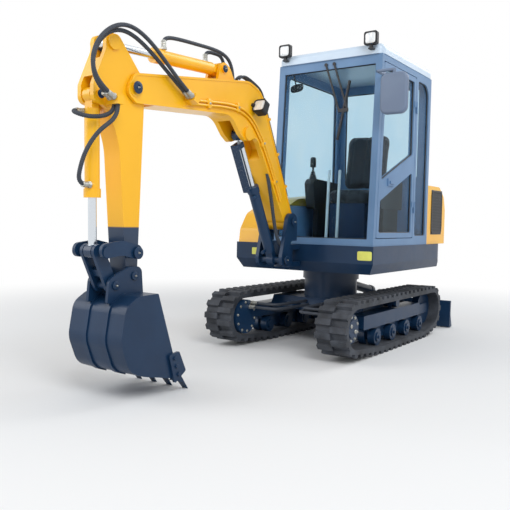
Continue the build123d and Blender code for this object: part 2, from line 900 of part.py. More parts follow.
def door():
    """Door frame with its slanted middle band, hinge leaves and handle."""
    y_low = cab_left_y - cab_wall
    panel = side_solid(door_outline(door_gap), y_low, cab_left_y, door_round)
    for outline in door_pane_outlines():
        panel -= side_solid(outline, y_low - cut_over, cab_left_y + cut_over, door_round)
    for z in hinge_heights:
        panel += hinge_half(z + hinge_length + seat_gap, door_rear_x, door_rear_x + 6 * hinge_radius)
    middle = band_top(handle_x) - band_depth / 2
    plate = block(handle_x - handle_half, handle_x + handle_half, cab_left_y, cab_left_y + handle_depth / 2,
                  middle - handle_half / 2, middle + handle_half / 2)
    lever = block(handle_x - handle_half * 0.8, handle_x + handle_half * 0.6, cab_left_y,
                  cab_left_y + handle_depth, middle - handle_depth / 2, middle + handle_depth / 2)
    return panel + plate + lever


def door_panes():
    y_high = cab_left_y - glass_set_back
    return Compound([side_solid(o, y_high - glass, y_high, door_round) for o in door_pane_outlines()])


def cab_roof():
    """Roof with rounded corners and edges over the cab's walls."""
    roof = block(cab_rear_x - roof_margin, roof_front(), cab_right_y - roof_margin, cab_left_y + roof_margin,
                 cab_head, roof_top)
    roof = fillet(roof.edges().filter_by(Axis.Z), roof_corner)
    return fillet(roof.faces().sort_by(Axis.Z)[-1].edges(), roof_edge)


def roof_front():
    return cab_front_high + roof_lip


def roof_lamps():
    """Two square work lamps on brackets at the roof's front corners."""
    out = []
    x = roof_front()
    arm_z = cab_head + roof_height / 3
    head_low = roof_top - lamp_height / 4
    for y in (cab_right_y + roof_corner + lamp_stem, cab_left_y - roof_corner - lamp_stem):
        arm = block(x, x + lamp_depth, y - lamp_stem, y + lamp_stem, arm_z, arm_z + lamp_stem / 2)
        stem = block(x + lamp_depth / 3, x + lamp_depth, y - lamp_stem / 2, y + lamp_stem / 2, arm_z,
                     head_low + lamp_round)
        head = block(x + side_gap, x + side_gap + lamp_depth, y - lamp_width / 2, y + lamp_width / 2,
                     head_low, head_low + lamp_height)
        head = fillet(head.edges().filter_by(Axis.X), lamp_round)
        rear_face = head.faces().sort_by(Axis.X)[0]
        head = chamfer(rear_face.edges(), lamp_round * 0.6)
        out.append(arm + stem + head)
    return Compound(out)


def mirror_left():
    """Door mirror: a rounded head on a bent tube from the front post."""
    head_x = cab_front_low + mirror_reach / 3
    head_y = cab_left_y + mirror_reach
    top = mirror_low + mirror_height
    tube_y = cab_left_y + 2 * mirror_tube
    tube_z = top + 2 * mirror_tube
    foot_front = cab_front_x(tube_z) - side_gap
    root = block(foot_front - 3 * mirror_tube, foot_front, cab_left_y, tube_y, tube_z - 2 * mirror_tube,
                 tube_z + 2 * mirror_tube)
    tube_x = foot_front - mirror_tube
    tube = Pos((head_x + tube_x) / 2, tube_y, tube_z) * Rot(0, 90, 0) * Cylinder(mirror_tube, head_x - tube_x)
    across = Rot(90, 0, 0) * Cylinder(mirror_tube, head_y - tube_y)
    across = Pos(head_x, (head_y + tube_y) / 2, tube_z) * across
    drop = Pos(head_x, head_y, top) * Cylinder(mirror_tube, 4 * mirror_tube)
    head = block(head_x - mirror_depth / 2, head_x + mirror_depth / 2, head_y - mirror_width / 2,
                 head_y + mirror_width / 2, mirror_low, top)
    head = fillet(head.edges().filter_by(Axis.X), mirror_round)
    head = fillet(head.faces().sort_by(Axis.X)[-1].edges(), mirror_depth / 2)
    for y in (tube_y, head_y):
        tube += Pos(head_x, y, tube_z) * Sphere(mirror_tube)
    return root + tube + across + drop + head


def seat():
    """Seat cushion and back on one plain form."""
    low = seat_y - seat_half
    high = seat_y + seat_half
    base_top = seat_low + seat_depth
    base = fillet(block(seat_rear, seat_front, low, high, seat_low, base_top).edges(), seat_round)
    lean = seat_back_lean
    back = side_solid(
        [(seat_rear, base_top), (seat_rear + lean, base_top), (seat_rear, base_top + seat_back_height),
         (seat_rear - lean * 0.9, base_top + seat_back_height)],
        low, high)
    return base + fillet(back.edges(), seat_round)


def seat_stand():
    """Plain stand under the seat."""
    return block(seat_rear + seat_round, seat_front - 2 * seat_round, seat_y - stand_half,
                 seat_y + stand_half, cab_floor, seat_low)


def consoles():
    """Arm consoles each side of the seat with their control levers."""
    out = []
    rear = seat_rear + seat_round
    front = seat_front + seat_round
    lever_x = seat_front
    for y in (seat_y - seat_half - console_gap - console_width, seat_y + seat_half + console_gap):
        middle = y + console_width / 2
        box = side_solid(
            [(rear, console_low), (rear, console_high), (front, console_high + console_round),
             (front + console_gap, console_high - console_round), (front, console_low)],
            y, y + console_width, console_round)
        stem = Pos(lever_x, middle, console_high + lever_height / 2) * Cylinder(stem_radius, lever_height)
        knob_z = console_high + lever_height + knob_height / 3
        knob = Pos(lever_x, middle, knob_z) * Cylinder(knob_radius, knob_height)
        knob = fillet(knob.faces().sort_by(Axis.Z)[-1].edges(), knob_radius * 0.8)
        post = block(rear + console_gap, front - console_width, y + console_width / 4,
                     y + console_width * 0.75, cab_floor, console_low + console_round)
        out.append(box + stem + knob + post)
    return Compound(out)


def travel_levers():
    """Two long travel levers with their pedals on the floor ahead of the seat."""
    out = []
    lever_x = seat_front + 2 * console_width
    for sign in (-1, 1):
        middle = seat_y + sign * travel_lever_pitch / 2
        y = middle - travel_lever_width / 2
        lever = side_solid(
            [(lever_x + pedal_half, cab_floor), (lever_x + pedal_half + travel_lever_width, cab_floor),
             (lever_x + travel_lever_width, travel_lever_top), (lever_x, travel_lever_top)],
            y, y + travel_lever_width)
        pedal = block(lever_x, lever_x + 4 * pedal_half, middle - pedal_half, middle + pedal_half, cab_floor,
                      cab_floor + pedal_height)
        out.append(lever + pedal)
    return Compound(out)


# Engine bay

def bay_outline(inset):
    """Side view of the engine bay's top and rear."""
    rear = tail_rear + bay_inset + inset
    high = bay_top - inset
    front = cab_rear_x - bay_gap
    return [(front, cab_floor), (front, high), (rear + bay_slope - inset, high),
            (rear + bay_slope / 4 - inset / 3, high - bay_slope / 2), (rear, bay_top - 1.2 * bay_slope),
            (rear, cab_floor)]


bay_radii = [0, 20, 80, 60, 60, 0]


def bay_side(side):
    """Yellow side panel of the engine bay with its air grille."""
    inner = bay_half - bay_wall
    panel = side_solid(bay_outline(0), inner, bay_half, bay_radii)
    for i in range(grille_slots):
        z = grille_low + i * grille_pitch
        panel -= block(grille_rear, grille_front, bay_half - grille_depth, bay_half + cut_over,
                       z, z + grille_slot)
    return mirrored([panel], side)[0]


def hood():
    """Rear hood: the bay's top and back in one curved sheet, hinged behind the cab."""
    half = bay_half - bay_wall - bay_gap
    over = half + cut_over
    sheet = side_solid(bay_outline(0), -half, half, bay_radii)
    sheet -= side_solid(bay_outline(bay_wall), -over, over, bay_radii)
    sheet -= block(cab_rear_x - 3 * bay_gap, 0, -over, over, 0, roof_top)
    sheet -= block(2 * tail_rear, 0, -over, over, 0, cab_floor + hood_split)
    for y in hood_hinge_y:
        sheet += pin_across(hood_pivot, hood_knuckle, y, y + hood_hinge_width)
        sheet += block(hood_pivot[0] - hood_hinge_width, hood_pivot[0], y, y + hood_hinge_width,
                       bay_top - bay_gap, bay_top + hood_knuckle)
    return sheet


def hood_hinges():
    """Fixed knuckles of the hood on the cab's rear wall."""
    out = []
    for y in hood_hinge_y:
        start = y + hood_hinge_width + seat_gap
        knuckle = pin_across(hood_pivot, hood_knuckle, start, start + hood_hinge_width)
        leaf = block(hood_pivot[0], cab_rear_x, start, start + hood_hinge_width,
                     hood_pivot[1] - hood_leaf, hood_pivot[1] + hood_leaf)
        out.append(knuckle + leaf)
    return Compound(out)


def engine():
    """The engine as one plain block in its bay."""
    half = bay_half - 4 * engine_margin
    return block(tail_rear + 1.5 * engine_margin, cab_rear_x - engine_margin, -half, half, cab_floor,
                 bay_top - engine_margin)


def side_cover():
    """Right-hand cover over the tanks, sloping down to the front."""
    top = cab_floor + cover_height
    rear = cab_rear_x - bay_gap
    return side_solid(
        [(rear, cab_floor), (rear, top), (cab_front_low - cover_height, top - 60),
         (cab_front_low - cover_height / 4, top - 0.44 * cover_height),
         (cab_front_low - 15, cab_floor + cover_height / 4), (cab_front_low, cab_floor)],
        -bay_half, cover_inner_y, [0, 30, 120, 130, 60, 0])


# Digging gear

def swing_post():
    """Post that carries the boom's foot and the boom cylinder, turning on the swing pin."""
    low = bracket_low + bracket_plate + seat_gap
    high = bracket_high - seat_gap
    middle = (low + high) / 2
    face_x = foot_x + post_face
    front = face_x + post_plate
    reach = ear_gap / 2 + ear_thickness
    post = Pos(swing_x, boom_plane, middle) * Cylinder(bracket_half, high - low)
    post += block(swing_x, front, boom_plane - post_half, boom_plane + post_half, low, high)
    post += block(face_x, front, boom_plane - reach, boom_plane + reach, low, deck_top + ear_thickness)
    post -= Pos(swing_x, boom_plane, middle) * Cylinder(swing_pin + pin_play, high - low + cut_over)
    ear = [(foot_x - post_ear, foot_z + post_ear), (foot_x + post_ear, foot_z + post_ear),
           (lift_foot[0] + 55, lift_foot[1] + 20),
           (lift_foot[0] + 50, lift_foot[1] - 52), (lift_foot[0] - 75, lift_foot[1] - 52),
           (face_x, deck_top + ear_thickness), (foot_x - post_ear, deck_top + ear_thickness)]
    for sign in (-1, 1):
        y_low, y_high = pair(sign, ear_gap / 2, reach)
        post += side_solid(ear, boom_plane + y_low, boom_plane + y_high, [66, 66, 50, 50, 20, 30, 10])
    pin_half = reach + pin_cap
    for pin in (foot, lift_foot):
        post += pin_across(pin, pin_radius, boom_plane - pin_half, boom_plane + pin_half)
    return post


def boom_outline():
    """Side view of the bent boom in its own frame, along its line from foot to tip."""
    lift_x, lift_z = boom_lift_pin
    return [(-62, 30), boom_crest_rear, boom_crest, boom_tip_top, (boom_length + 50, -60), boom_tip_low,
            boom_belly, (lift_x + 82, lift_z - 48), (lift_x, lift_z - 60), (lift_x - 108, lift_z + 34),
            (62, -40)]


def boom():
    """Bent box boom with the lift cylinder's slot, the arm cylinder's bracket and the tip fork."""
    half = boom_width / 2
    tip = boom_length
    points = boom_outline()
    body = side_solid(points, -half, half, boom_radii)
    web = offset(side_face(points, boom_radii), -flange_width)
    for sign in (-1, 1):
        body -= Pos(0, sign * half, 0) * extrude(web, flange_depth, both=True)
    body += pin_across((0, 0), boom_boss, -half, half)
    body += pin_across((tip, 0), boom_boss - flange_width, -half, half)
    lug_x, lug_z = arm_cylinder_pin
    for sign in (-1, 1):
        y_low, y_high = pair(sign, slot_width / 2, slot_width / 2 + link_plate)
        body += side_solid(
            [(lug_x - 230, lug_z - 60), (lug_x - 60, lug_z + 50), (lug_x + 48, lug_z + 50),
             (lug_x + 20, lug_z - 130)],
            y_low, y_high, [0, 50, 50, 0])
    body -= pin_across((0, 0), pin_radius + pin_play, -half - cut_over, half + cut_over)
    lift_x, lift_z = boom_lift_pin
    body -= side_solid(
        [(lift_x - 260, lift_z - 238), (lift_x - 260, lift_z + 30), (lift_x - 158, lift_z + 100),
         (lift_x - 20, lift_z + 225), (lift_x + 192, lift_z + 225), (lift_x + 192, lift_z - 238)],
        -lift_slot / 2, lift_slot / 2, [0, 40, 60, 60, 60, 0])
    gap_half = fork_gap / 2
    body -= block(tip - fork_depth, tip + fork_depth, -gap_half, gap_half, -fork_depth, 1.5 * fork_depth)
    body += pin_across((tip, 0), pin_radius, -half - pin_cap, half + pin_cap)
    lug_half = slot_width / 2 + link_plate + pin_cap
    body += pin_across(arm_cylinder_pin, pin_radius, -lug_half, lug_half)
    for sign in (-1, 1):
        y_low, y_high = pair(sign, half - flange_depth, half + pin_cap)
        body += pin_across(boom_lift_pin, lift_boss, y_low, y_high)
    body += hose_fitting(boom_fitting, half - flange_depth)
    return placed(body, foot, boom_angle)


def hose_fitting(point, inner):
    """Block on the left side of the boom or the arm that holds the ends of the arm's hoses."""
    x, z = point
    outer = boom_width / 2 + hose_stand_off + hose_pitch + fitting_half
    return block(x - fitting_half, x + fitting_half, inner, outer, z - fitting_half, z + fitting_half)


def boom_lamp():
    """Work lamp on a bracket at the boom's left side."""
    inner = boom_width / 2 - flange_depth
    outer = boom_width / 2
    x, z = boom_lift_pin
    z += 215
    lamp = block(x - 28, x + 52, inner, outer + lamp_stem, z - lamp_stem / 2, z + lamp_stem / 2)
    head = block(x - 28, x + 32, outer + lamp_stem / 2, outer + lamp_stem / 2 + lamp_width * 0.8,
                 z - lamp_height / 2, z + lamp_height / 2)
    lamp += fillet(head.edges().filter_by(Axis.X), lamp_round)
    return placed(lamp, foot, boom_angle)


def arm():
    """Tapered box arm with the cylinder brackets at its head."""
    half = arm_width / 2
    tip = arm_length
    head = arm_head_pin
    side = bucket_cylinder_pin
    outline = [(60, -92), (-70, -78), (head[0] - 52, head[1] - 40), (head[0] - 45, head[1] + 52),
               (head[0] + 45, head[1] + 52), (side[0] - 52, side[1] + 46), (side[0] + 46, side[1] + 46),
               (side[0] + 60, side[1] - 60), (side[0] + 254, 105), (tip + 46, 40), (tip + 46, -44)]
    radii = [150, 70, 45, 45, 60, 44, 44, 90, 400, 40, 40]
    body = side_solid(outline, -half, half, radii)
    body -= block(head[0] - 200, head[0] + 95, -slot_width / 2, slot_width / 2, -60, side[1] + 77)
    body -= block(side[0] - 100, side[0] + 330, -slot_width / 2, slot_width / 2, side[1] - 75, side[1] + 200)
    for point in ((0, 0), (tip, 0), rocker_pin):
        body -= pin_across(point, pin_radius + pin_play, -half - cut_over, half + cut_over)
    body += pin_across(side, pin_radius, -half - cut_over, half + cut_over)
    for sign in (-1, 1):
        body += pin_across(head, rod_eye, *pair(sign, half, half + pin_cap))
    body += hose_fitting(arm_fitting, half)
    return placed(body, arm_root, arm_angle)


def rocker():
    """Two arched rocker plates on one pin through the arm."""
    inner = rocker_inner
    outer = rocker_inner + link_plate
    length, angle = heading(rocker_root, rod_end)
    round_end = rod_eye
    piece = pin_across((0, 0), pin_radius, -outer - hub_step, outer + hub_step)
    outline = [(-round_end, -round_end), (-round_end, round_end), (length / 2, round_end + rocker_arch),
               (length + round_end, round_end), (length + round_end, -round_end),
               (length / 2, rocker_arch - round_end)]
    radii = [round_end - 1, round_end - 1, 150, round_end - 1, round_end - 1, 150]
    for sign in (-1, 1):
        piece += side_solid(outline, *pair(sign, inner, outer), radii)
        piece += pin_across((0, 0), rocker_boss, *pair(sign, arm_width / 2 + side_gap / 2, inner))
        piece += pin_across((length, 0), rocker_boss, *pair(sign, outer, outer + hub_step))
    return placed(piece, rocker_root, angle)


def push_link():
    """Link from the rocker's end to the bucket: two plates and a cross bar."""
    inner = push_inner
    outer = push_inner + link_plate
    length, angle = heading(link_root, rod_end)
    bar = rod_eye / 2
    piece = block(length * 0.3, length * 0.5, -inner, inner, -bar, bar)
    for sign in (-1, 1):
        piece += side_solid(
            [(-rod_eye, -rod_eye), (-rod_eye, rod_eye), (length + rod_eye, rod_eye),
             (length + rod_eye, -rod_eye)],
            *pair(sign, inner, outer), rod_eye - 2)
    piece -= pin_across((0, 0), pin_radius + pin_play, -outer - cut_over, outer + cut_over)
    return placed(piece, link_root, angle)


def bucket_outline(inset):
    """Side view of the bucket from its pin: mouth towards the machine, rounded back."""
    mouth_x, mouth_z = bucket_mouth
    lip_x, lip_z = bucket_lip
    return [(mouth_x - inset, mouth_z - inset), (mouth_x + 165, mouth_z - 5 - inset),
            (mouth_x + 260 - inset, mouth_z - 60 - inset / 2), (mouth_x + 298 - inset, mouth_z - 260),
            (lip_x + 422 - inset, lip_z + 110 + inset), (lip_x + 302, lip_z + 65 + inset),
            (lip_x - inset, lip_z + inset)]


def mouth_point(along, out):
    """A point by its distance from the lip up the mouth's edge and out of the mouth."""
    length, angle = heading(bucket_lip, bucket_mouth)
    return add(bucket_lip, turn((along, out), angle))


def bucket():
    """Bucket with its hanger ears, back ribs, side cutters, cutting lip and teeth."""
    half = bucket_width / 2
    shell = side_solid(bucket_outline(0), -half, half, bucket_radii)
    for y in rib_y:
        rib = side_solid(bucket_outline(-rib_height), y - rib_width / 2, y + rib_width / 2,
                         bucket_radii)
        shell += rib - block(-2 * bucket_width, bucket_mouth[0] + 140, -half, half, 2 * bucket_lip[1], 0)
    cavity_outline = bucket_outline(bucket_wall)
    cavity_outline[0] = (bucket_mouth[0] - 130, bucket_mouth[1] - bucket_wall)
    cavity_outline[-1] = (bucket_lip[0] - 158, bucket_lip[1] - 15)
    shell -= side_solid(cavity_outline, -half + bucket_wall, half - bucket_wall, cavity_radii)
    link_x, link_z = link_pin
    ear = [(-62, 30), (-40, 55), (40, 55), (link_x + 46, link_z + 40),
           (link_x + 60, bucket_mouth[1] - ear_foot),
           (bucket_mouth[0] - 5, bucket_mouth[1] - bucket_wall + 2)]
    for sign in (-1, 1):
        shell += side_solid(ear, *pair(sign, bucket_ear_inner, bucket_ear_inner + bucket_ear), ear_radii)
        cutter = [mouth_point(0, -60), mouth_point(cutter_length, -50), mouth_point(cutter_length * 0.9, 40),
                  mouth_point(cutter_length * 0.15, 58)]
        shell += side_solid(cutter, *pair(sign, half, half + cutter_plate), cutter_round)
    pitch = (bucket_width - tooth_width) / (tooth_count - 1)
    lip_x, lip_z = bucket_lip
    tip = add(bucket_lip, turn((tooth_reach, 0), tooth_angle))
    tooth = [(lip_x + 27, lip_z + 22), (lip_x, lip_z + 40), tip, (lip_x - 38, lip_z - 28),
             (lip_x + 37, lip_z - 8)]
    for i in range(tooth_count):
        y = -half + tooth_width / 2 + i * pitch
        shell += side_solid(tooth, y - tooth_width / 2, y + tooth_width / 2)
    reach = bucket_ear_inner + bucket_ear + bucket_cap
    for pin in ((0, 0), link_pin):
        shell += pin_across(pin, pin_radius, -reach, reach)
    return placed(shell, bucket_root, 0)


def cylinder_pair(root, end, barrel_share, draw_in, port_side=1, plane=boom_plane):
    """Barrel and rod of one hydraulic cylinder between two side view points."""
    length, angle = heading(root, end)
    return (placed(barrel(length * barrel_share, port_side), root, angle, plane),
            placed(rod(length, draw_in), root, angle, plane))


# Hoses: straight runs joined by tangent arcs, each in one plane across the machine

def hose(points, y, bend=hose_bend):
    """A round hose along side view points."""
    path = Plane.XZ.offset(-y) * FilletPolyline(*points, radius=bend)
    ring = Plane(origin=path @ 0, z_dir=path % 0) * Circle(hose_radius)
    return sweep(ring, path=path)


def arm_hoses():
    """Two hoses from the boom's left side round the arm's head to the arm's bracket."""
    out = []
    start = add(foot, turn(boom_fitting, boom_angle))
    end = add(arm_root, turn(arm_fitting, arm_angle))
    for i in range(2):
        y = boom_plane + boom_width / 2 + hose_stand_off + hose_pitch * i
        grow = hose_pitch * i
        route = [start, add(start, turn((420, 60 + grow), boom_angle)), add(arm_root, (150, 330 + grow)),
                 add(end, (150 + grow, 290)), add(end, (170 + grow, 90)), end]
        out.append(hose(route, y))
    return Compound(out)


def boom_hoses():
    """Two hoses from the swing post to the boom's belly, one each side of the lift cylinder."""
    start = (foot_x + 2 * fitting_half, deck_top - fitting_half)
    end = add(foot, turn(belly_fitting, boom_angle))
    route = [add(start, (-fitting_half, 0)), add(start, (3 * fitting_half, fitting_half)),
             add(foot, belly_bend), end]
    sides = [hose(route, boom_plane + sign * lift_hose_y, hose_bend * 0.8) for sign in (-1, 1)]
    return Compound(sides)


def cylinder_hoses(barrel_length):
    """Hoses from the arm cylinder's two ports back to the boom's top."""
    out = []
    length, angle = heading(arm_cyl_root, arm_cyl_end)
    top = barrel_radius + port_height
    pin_x, pin_z = arm_cylinder_pin
    for i, (spot, y) in enumerate(port_spots(barrel_length)):
        port = add(arm_cyl_root, turn((spot, top), angle))
        rise = 2 * fitting_half + hose_radius * i
        back = add(arm_cyl_root, turn((-5 * fitting_half - hose_pitch * i, top + rise), angle))
        spot_x = pin_x - 7 * fitting_half - hose_pitch * i
        landing = add(foot, turn((spot_x, pin_z - 2 * fitting_half), boom_angle))
        route = [port, add(port, turn((0, rise), angle)), back, landing]
        out.append(hose(route, boom_plane + y, rise * 0.9))
    return Compound(out)


def travel_hoses():
    """Hoses from the pedestal to the two travel motors, level between the tracks."""
    out = []
    motor_y = track_centre - sprocket_half - motor_depth
    for i in range(2):
        z = carbody_top - hose_pitch * (i + 1)
        x = sprocket_x - motor_radius / 2 + hose_pitch * i
        start_y = lashing_y / 2 - hose_pitch * i
        path = Pos(0, 0, z) * FilletPolyline((0.6 * carbody_half_length, start_y), (x, start_y + hose_pitch),
                                             (x, motor_y), radius=2 * hose_bend)
        ring = Plane(origin=path @ 0, z_dir=path % 0) * Circle(hose_radius)
        run = sweep(ring, path=path)
        out += [run, mirror(run, Plane.XZ)]
    return Compound(out)


def trimmed(hoses, *carriers):
    """Hoses cut off flush where they meet the pieces that carry them."""
    out = []
    for run in hoses.solids():
        for carrier in carriers:
            run = run - carrier
        out.append(run.solids().sort_by(SortBy.VOLUME)[-1])
    return Compound(out)


boom_barrel, boom_rod = cylinder_pair(lift_foot, lift_top, boom_barrel_share, boom_draw_in, -1)
boom_rod_length, boom_rod_angle = heading(lift_foot, lift_top)
boom_rod += placed(rod_guard(boom_rod_length), lift_foot, boom_rod_angle)
arm_barrel, arm_rod = cylinder_pair(arm_cyl_root, arm_cyl_end, arm_barrel_share, arm_draw_in)
bucket_barrel, bucket_rod = cylinder_pair(bucket_cyl_root, rod_end, bucket_barrel_share, bucket_draw_in)
blade_barrel, blade_rod = cylinder_pair(blade_cylinder_foot, blade_lug, blade_barrel_share, blade_draw_in,
                                        plane=0)
arm_barrel_length = heading(arm_cyl_root, arm_cyl_end)[0] * arm_barrel_share
carbody_solid = carbody()
post_solid = swing_post()
boom_solid = boom()
arm_solid = arm()

nodes = {
    "track_left": track(1),
    "track_right": track(-1),
    "track_frame_left": track_frame(1),
    "track_frame_right": track_frame(-1),
    "rollers_left": rollers(1),
    "rollers_right": rollers(-1),
    "drive_left": drive(1),
    "drive_right": drive(-1),
    "carbody": carbody_solid,
    "travel_hoses": trimmed(travel_hoses(), carbody_solid),
    "slew_ring": slew_ring(),
    "blade": blade(),
    "blade_barrel": blade_barrel,
    "blade_rod": blade_rod,
    "deck": deck(),
    "tail": tail(),
    "cab_front": cab_front(),
    "cab_right": cab_right(),
    "cab_rear": cab_rear(),
    "cab_left": cab_left(),
    "cab_roof": cab_roof(),
    "windscreen": windscreen(),
    "wiper": wiper(),
    "right_pane": right_pane(),
    "rear_pane": rear_pane(),
    "quarter_pane": quarter_pane(),
    "door": door(),
    "door_panes": door_panes(),
    "roof_lamps": roof_lamps(),
    "side_mirror": mirror_left(),
    "seat": seat(),
    "seat_stand": seat_stand(),
    "consoles": consoles(),
    "travel_levers": travel_levers(),
    "bay_side_left": bay_side(1),
    "bay_side_right": bay_side(-1),
    "hood": hood(),
    "hood_hinges": hood_hinges(),
    "engine": engine(),
    "side_cover": side_cover(),
    "swing_post": post_solid,
    "boom": boom_solid,
    "boom_lamp": boom_lamp(),
    "boom_hoses": trimmed(boom_hoses(), boom_solid, post_solid),
    "boom_barrel": boom_barrel,
    "boom_rod": boom_rod,
    "arm": arm_solid,
    "arm_hoses": trimmed(arm_hoses(), boom_solid, arm_solid),
    "arm_barrel": arm_barrel,
    "arm_rod": arm_rod,
    "cylinder_hoses": trimmed(cylinder_hoses(arm_barrel_length), boom_solid),
    "bucket_barrel": bucket_barrel,
    "bucket_rod": bucket_rod,
    "rocker": rocker(),
    "push_link": push_link(),
    "bucket": bucket(),
}

os.makedirs("parts", exist_ok=True)
for name, solid in nodes.items():
    export_step(solid, f"parts/{name}.step")
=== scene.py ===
import json
import math

import bmesh
import bpy
import numpy as np
from mathutils import Matrix, Vector


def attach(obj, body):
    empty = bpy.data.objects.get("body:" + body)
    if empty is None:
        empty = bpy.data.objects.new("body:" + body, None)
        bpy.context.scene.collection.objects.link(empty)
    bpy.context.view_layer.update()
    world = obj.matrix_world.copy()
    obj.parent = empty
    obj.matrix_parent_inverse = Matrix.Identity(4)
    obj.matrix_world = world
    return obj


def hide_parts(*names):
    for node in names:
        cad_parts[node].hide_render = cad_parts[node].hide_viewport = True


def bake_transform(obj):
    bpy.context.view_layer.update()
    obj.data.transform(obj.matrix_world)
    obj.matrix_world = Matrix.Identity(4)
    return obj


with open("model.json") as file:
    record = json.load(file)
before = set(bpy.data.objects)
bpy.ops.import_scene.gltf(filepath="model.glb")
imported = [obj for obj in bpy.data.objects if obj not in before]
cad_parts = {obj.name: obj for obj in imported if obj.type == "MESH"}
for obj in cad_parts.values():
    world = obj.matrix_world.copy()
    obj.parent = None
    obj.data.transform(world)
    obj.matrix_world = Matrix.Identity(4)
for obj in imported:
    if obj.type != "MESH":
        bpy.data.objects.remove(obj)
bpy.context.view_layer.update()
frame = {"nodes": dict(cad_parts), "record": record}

nodes = frame["nodes"]
scene = bpy.context.scene
scene.view_settings.view_transform = "Standard"
print("frame loaded:", len(nodes), "nodes")


# camera: the photograph's view, with the lens worked out from its vanishing lines
cameraSpec = {
    "place": (5.234, 2.75, 1.047),
    "yaw": 34.43,      # degrees from the boom's direction towards the door side
    "pitch": 2.87,     # looking slightly down
    "roll": 1.11,
    "focalPixels": 650,
    "framePixels": 510,
    "sensor": 36.0,
}


def makeCamera(spec):
    yaw, pitch, roll = (math.radians(spec[k]) for k in ("yaw", "pitch", "roll"))
    ahead = Vector((-math.cos(yaw) * math.cos(pitch), -math.sin(yaw) * math.cos(pitch), -math.sin(pitch)))
    right = ahead.cross(Vector((0, 0, 1))).normalized()
    up = right.cross(ahead)
    rightRolled = right * math.cos(roll) + up * math.sin(roll)
    upRolled = up * math.cos(roll) - right * math.sin(roll)
    data = bpy.data.cameras.new("photoCamera")
    data.sensor_width = spec["sensor"]
    data.lens = spec["focalPixels"] / spec["framePixels"] * spec["sensor"]
    data.clip_end = 200
    camera = bpy.data.objects.new("photoCamera", data)
    rows = [(rightRolled[i], upRolled[i], -ahead[i], spec["place"][i]) for i in range(3)]
    camera.matrix_world = Matrix(rows + [(0, 0, 0, 1)])
    scene.collection.objects.link(camera)
    scene.camera = camera


makeCamera(cameraSpec)


# materials: each finish is a small node tree on Object coordinates

def srgb(r, g, b):
    # display colour (0 to 255) to linear light
    out = []
    for c in (r, g, b):
        c = c / 255
        out.append(c / 12.92 if c <= 0.04045 else ((c + 0.055) / 1.055) ** 2.4)
    return (*out, 1.0)


def newMaterial(name):
    m = bpy.data.materials.new(name)
    m.use_nodes = True
    tree = m.node_tree
    shader = tree.nodes["Principled BSDF"]
    return m, tree, shader


def objectNoise(tree, scale, detail=4.0, rough=0.55, stretch=None):
    coord = tree.nodes.new("ShaderNodeTexCoord")
    noise = tree.nodes.new("ShaderNodeTexNoise")
    noise.inputs["Scale"].default_value = scale
    noise.inputs["Detail"].default_value = detail
    noise.inputs["Roughness"].default_value = rough
    if stretch:
        mapping = tree.nodes.new("ShaderNodeMapping")
        mapping.inputs["Scale"].default_value = stretch
        tree.links.new(coord.outputs["Object"], mapping.inputs["Vector"])
        tree.links.new(mapping.outputs["Vector"], noise.inputs["Vector"])
    else:
        tree.links.new(coord.outputs["Object"], noise.inputs["Vector"])
    return noise


def colourBetween(tree, shader, factor, low, high, lowAt=0.3, highAt=0.7):
    ramp = tree.nodes.new("ShaderNodeValToRGB")
    ramp.color_ramp.elements[0].position = lowAt
    ramp.color_ramp.elements[1].position = highAt
    ramp.color_ramp.elements[0].color = low
    ramp.color_ramp.elements[1].color = high
    tree.links.new(factor, ramp.inputs["Fac"])
    tree.links.new(ramp.outputs["Color"], shader.inputs["Base Color"])


def roughBetween(tree, shader, factor, low, high):
    span = tree.nodes.new("ShaderNodeMapRange")
    span.inputs["To Min"].default_value = low
    span.inputs["To Max"].default_value = high
    tree.links.new(factor, span.inputs["Value"])
    tree.links.new(span.outputs["Result"], shader.inputs["Roughness"])


def bumpFrom(tree, shader, height, strength, distance):
    bump = tree.nodes.new("ShaderNodeBump")
    bump.inputs["Strength"].default_value = strength
    bump.inputs["Distance"].default_value = distance
    tree.links.new(height, bump.inputs["Height"])
    tree.links.new(bump.outputs["Normal"], shader.inputs["Normal"])


def enamel(tree, shader, rough, coat, shine=0.5):
    # sprayed surface: hazy gloss and fine orange peel under a clear coat
    haze = objectNoise(tree, 9.0)
    roughBetween(tree, shader, haze.outputs["Fac"], *rough)
    peel = objectNoise(tree, 420.0, 2.0)
    bumpFrom(tree, shader, peel.outputs["Fac"], 0.06, 0.0006)
    shader.inputs["Specular IOR Level"].default_value = shine
    shader.inputs["Coat Weight"].default_value = coat
    shader.inputs["Coat Roughness"].default_value = 0.12


def paint(name, tones, rough, coat=0.25, shine=0.5):
    # slow drift between two tones of one paint
    m, tree, shader = newMaterial(name)
    drift = objectNoise(tree, 2.2)
    colourBetween(tree, shader, drift.outputs["Fac"], *tones)
    enamel(tree, shader, rough, coat, shine)
    return m


# low and high tone of each paint
amber = (srgb(240, 174, 4), srgb(248, 188, 12))
ink = (srgb(13, 41, 70), srgb(21, 52, 84))
slate = (srgb(88, 122, 160), srgb(104, 138, 176))
paleRoof = (srgb(188, 207, 226), srgb(200, 217, 234))
paleGrey = (srgb(206, 210, 212), srgb(222, 225, 226))
shellGrey = (srgb(96, 112, 138), srgb(110, 126, 150))
plated = srgb(214, 220, 226)
materials = {
    "yellow_paint": paint("amberEnamel", amber, (0.28, 0.4)),
    "dark_paint": paint("inkEnamel", ink, (0.32, 0.46), 0.1, 0.3),
    "cab_paint": paint("slateEnamel", slate, (0.4, 0.52), 0.1, 0.35),
    "roof_paint": paint("paleRoofEnamel", paleRoof, (0.35, 0.45)),
}


